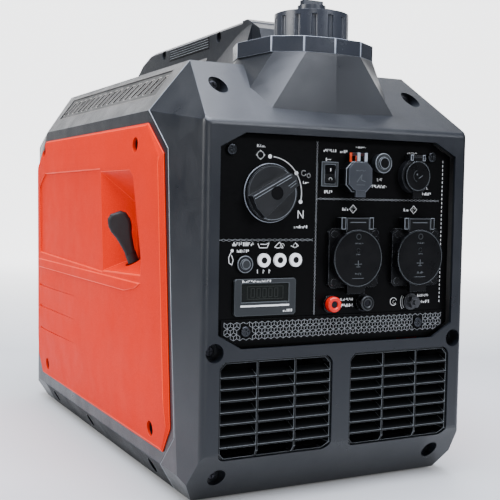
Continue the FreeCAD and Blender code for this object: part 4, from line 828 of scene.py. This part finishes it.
def seam_rim(edge):
    """Whether an edge lies between a shroud's inner rim and its outer skin."""
    middle = (edge.verts[0].co + edge.verts[1].co) / 2
    if edge.calc_length() < LONG_EDGE or abs(middle.y) > 0.235:
        return False
    for rim, skin_face in (edge.link_faces, tuple(edge.link_faces)[::-1]):
        normal = skin_face.normal
        outward = normal.x * middle.x > 0.01 * abs(middle.x) or normal.z > 0.5
        if abs(rim.normal.x) < 0.02 and rim.normal.y > 0.3 and abs(normal.y) < 0.3 and outward:
            return True
    return False


def rib_top(edge):
    """Whether an edge of the handle's inlays runs along a rib, on the side that faces up."""
    return edge.calc_length() > 30 * MM and max(face.normal.z for face in edge.link_faces) > 0.3


def vent_frames():
    """A painted highlight line round each strip of roof vents."""
    rise = Vector((33, 0, 45)).normalized()
    for name, side in (("left_vent_line", -1), ("right_vent_line", 1)):
        foot = Vector((side * 147 * MM, 0, 335 * MM))
        up = Vector((-side * rise.x, 0, rise.z))
        plane = (foot, Vector((0, side, 0)), up)
        line = Print(name, VENT_HIGHLIGHT, plane=plane)
        line.outline(-157.4, 157.4, 18.1, 49.4, 0.6)
        line.finish()


def intake_painted_shade():
    """Near-black ducts behind the two air inlets: painted shade for the dark inside of the casing."""
    bm = bmesh.new()
    front, back = -246.5 * MM, -212 * MM
    low_z, high_z = 0.0425, 0.1238
    for low_x, high_x in ((-117, -9.5), (9.5, 117)):
        ring = [(low_x * MM, low_z), (high_x * MM, low_z), (high_x * MM, high_z), (low_x * MM, high_z)]
        near = [bm.verts.new((x, front, z)) for x, z in ring]
        far = [bm.verts.new((x, back, z)) for x, z in ring]
        bm.faces.new(far)
        for i in range(4):
            bm.faces.new((near[i - 1], near[i], far[i], far[i - 1]))
    obj = piece("intake_painted_shade", bm, VOID, "machine", None)
    thick = obj.modifiers.new("thickness", "SOLIDIFY")
    thick.thickness, thick.offset = 1.5 * MM, 0


def spark_arrester():
    """A domed wire screen a little way inside the exhaust pipe."""
    bm = bmesh.new()
    bmesh.ops.create_circle(bm, cap_ends=False, radius=16.9 * MM, segments=40)
    outer = list(bm.verts)
    rings = [outer]
    for share, rise in ((0.8, 2.2), (0.55, 4.2), (0.3, 5.4)):
        rings.append([bm.verts.new((vert.co.x * share, vert.co.y * share, rise * MM)) for vert in outer])
    for low, high in zip(rings, rings[1:]):
        for i in range(len(low)):
            bm.faces.new((low[i - 1], low[i], high[i], high[i - 1]))
    bm.faces.new(rings[-1])
    turn = Matrix.Rotation(math.radians(-90), 4, "X")
    bmesh.ops.transform(bm, matrix=Matrix.Translation((-58 * MM, 0.246, 150 * MM)) @ turn, verts=bm.verts)
    obj = piece("spark_arrester", bm, ARRESTER, "machine", None)
    thick = obj.modifiers.new("thickness", "SOLIDIFY")
    thick.thickness = 0.6 * MM


for node, x in LID_MIDDLES.items():
    outlet_marks(node, x)
knob_marks()
usb_straps()
rocker_marks()
dc_marks()
vent_frames()
bright_edges("front_seam_light", "front_shroud", SEAM_EDGE, 0.8 * MM, seam_rim)
# Painted highlights along the sharp front edges of the sockets, breaker, reset bezel and rocker bezel.
for node, width in {
    "ac_sockets": 0.45, "usb_socket": 0.5, "dc_socket": 0.6,
    "breaker_body": 0.6, "reset_bezel": 0.6, "rocker_bezel": 0.35,
}.items():
    bright_edges(f"{node}_outline", node, EDGE_HIGHLIGHT, width * MM, front_outline(node))
button_rims()
# Painted highlights along the upper edges of the grip ribs, where the top light falls.
bright_edges("grip_rib_highlights", "handle_grips", EDGE_HIGHLIGHT, 0.45 * MM, rib_top)
intake_painted_shade()
spark_arrester()


# ---------------------------------------------------------------- stage, light and camera

def stage_material():
    """Pale within the camera's wedge of view, greyer outside it, and glowing a little towards the back."""
    shader = Shader("stage_white", Specular_IOR_Level=0.2)
    shader.rough(shader.spread(shader.noise(0.5, 2), 0.7, 0.8))
    shader.principled.inputs["Emission Color"].default_value = (1, 1, 1, 1)
    axes = shader.add("ShaderNodeSeparateXYZ")
    shader.links.new(shader.place, axes.inputs["Vector"])
    width = shader.add("ShaderNodeMath", operation="ABSOLUTE")
    shader.links.new(axes.outputs["X"], width.inputs[0])
    wedge = shader.add("ShaderNodeMath", operation="MULTIPLY_ADD")
    shader.links.new(axes.outputs["Y"], wedge.inputs[0])
    wedge.inputs[1].default_value = -0.3
    shader.links.new(width.outputs[0], wedge.inputs[2])
    inside = shader.add("ShaderNodeMath", operation="MULTIPLY")
    shader.links.new(shader.spread(wedge.outputs[0], 1, 0, 0.42, 0.9), inside.inputs[0])
    shader.links.new(shader.spread(axes.outputs["Y"], 0, 1, -0.55, -0.2), inside.inputs[1])
    shader.colour(shader.blend(inside.outputs[0], srgb(138, 139, 141), srgb(184, 185, 186)))
    glow = shader.add("ShaderNodeMath", operation="MULTIPLY")
    shader.links.new(shader.spread(wedge.outputs[0], 1, 0, 0.5, 2.4), glow.inputs[0])
    shader.links.new(shader.spread(axes.outputs["Y"], 0.1, 3, 0.5, 2.6), glow.inputs[1])
    shader.links.new(glow.outputs[0], shader.principled.inputs["Emission Strength"])
    return shader.material


def plain_stage():
    """A floor that curves up into a back wall, square to the camera."""
    mesh = bpy.data.meshes.new("floor")
    bm = bmesh.new()
    near, back, top, half_width = -6.0, 3.6, 4.2, 9
    cove, steps = 1.2, 12
    profile = [(near, 0.0), (back - cove, 0.0)]
    for i in range(1, steps + 1):
        t = math.radians(90 * i / steps)
        profile.append((back - cove + cove * math.sin(t), cove - cove * math.cos(t)))
    profile.append((back, top))
    rows = [[bm.verts.new((x, y, z)) for x in (-half_width, half_width)] for y, z in profile]
    for a, b in zip(rows, rows[1:]):
        bm.faces.new((a[0], a[1], b[1], b[0]))
    bm.to_mesh(mesh)
    bm.free()
    mesh.shade_smooth()
    floor = bpy.data.objects.new("floor", mesh)
    floor.rotation_euler.z = math.radians(-CAMERA_TURN)
    bpy.context.scene.collection.objects.link(floor)
    mesh.materials.append(stage_material())


def area_light(name, place, target, size, power, colour=(1, 1, 1)):
    data = bpy.data.lights.new(name, "AREA")
    data.shape = "RECTANGLE"
    data.size, data.size_y = size
    data.energy = power
    data.color = colour
    light = bpy.data.objects.new(name, data)
    light.location = place
    light.rotation_mode = "QUATERNION"
    light.rotation_quaternion = (Vector(target) - Vector(place)).to_track_quat("-Z", "Y")
    bpy.context.scene.collection.objects.link(light)


def lighting():
    world = bpy.data.worlds.new("studio")
    world.use_nodes = True
    world.node_tree.nodes["Background"].inputs["Color"].default_value = (0.92, 0.95, 1, 1)
    world.node_tree.nodes["Background"].inputs["Strength"].default_value = 0.13
    bpy.context.scene.world = world
    area_light("top_soft", (-0.3, -0.5, 2.3), (-0.3, -0.4, 0.2), (2.2, 2.4), 215, (0.9, 0.95, 1.08))
    area_light("left_soft", (-2.2, 0.2, 1.2), (0, 0, 0.2), (1.0, 1.2), 46)
    area_light("front_soft", (0.9, -2.0, 1.35), (0, -0.2, 0.3), (1.1, 0.7), 26, (0.92, 0.96, 1.05))
    area_light("behind_camera", (-1.2, -2.9, 0.55), (0, -0.1, 0.35), (0.7, 0.5), 13)


def photo_camera():
    """The viewpoint: a level three-quarter view from the front left, 66 mm lens on a 36 mm film."""
    data = bpy.data.cameras.new("camera")
    data.sensor_width, data.lens = 36, 66.384
    data.clip_start, data.clip_end = 0.05, 50
    camera = bpy.data.objects.new("camera", data)
    turn, dip, roll = math.radians(CAMERA_TURN), math.radians(3.1), math.radians(1.0)
    forward = Vector((math.sin(turn) * math.cos(dip), math.cos(turn) * math.cos(dip), -math.sin(dip)))
    level = Vector((math.cos(turn), -math.sin(turn), 0))
    above = level.cross(forward)
    right = level * math.cos(roll) + above * math.sin(roll)
    up = above * math.cos(roll) - level * math.sin(roll)
    axes = Matrix((right, up, -forward)).transposed().to_4x4()
    camera.matrix_world = Matrix.Translation((-0.4386, -0.9369, 0.2578)) @ axes
    bpy.context.scene.collection.objects.link(camera)
    bpy.context.scene.camera = camera


plain_stage()
lighting()
photo_camera()
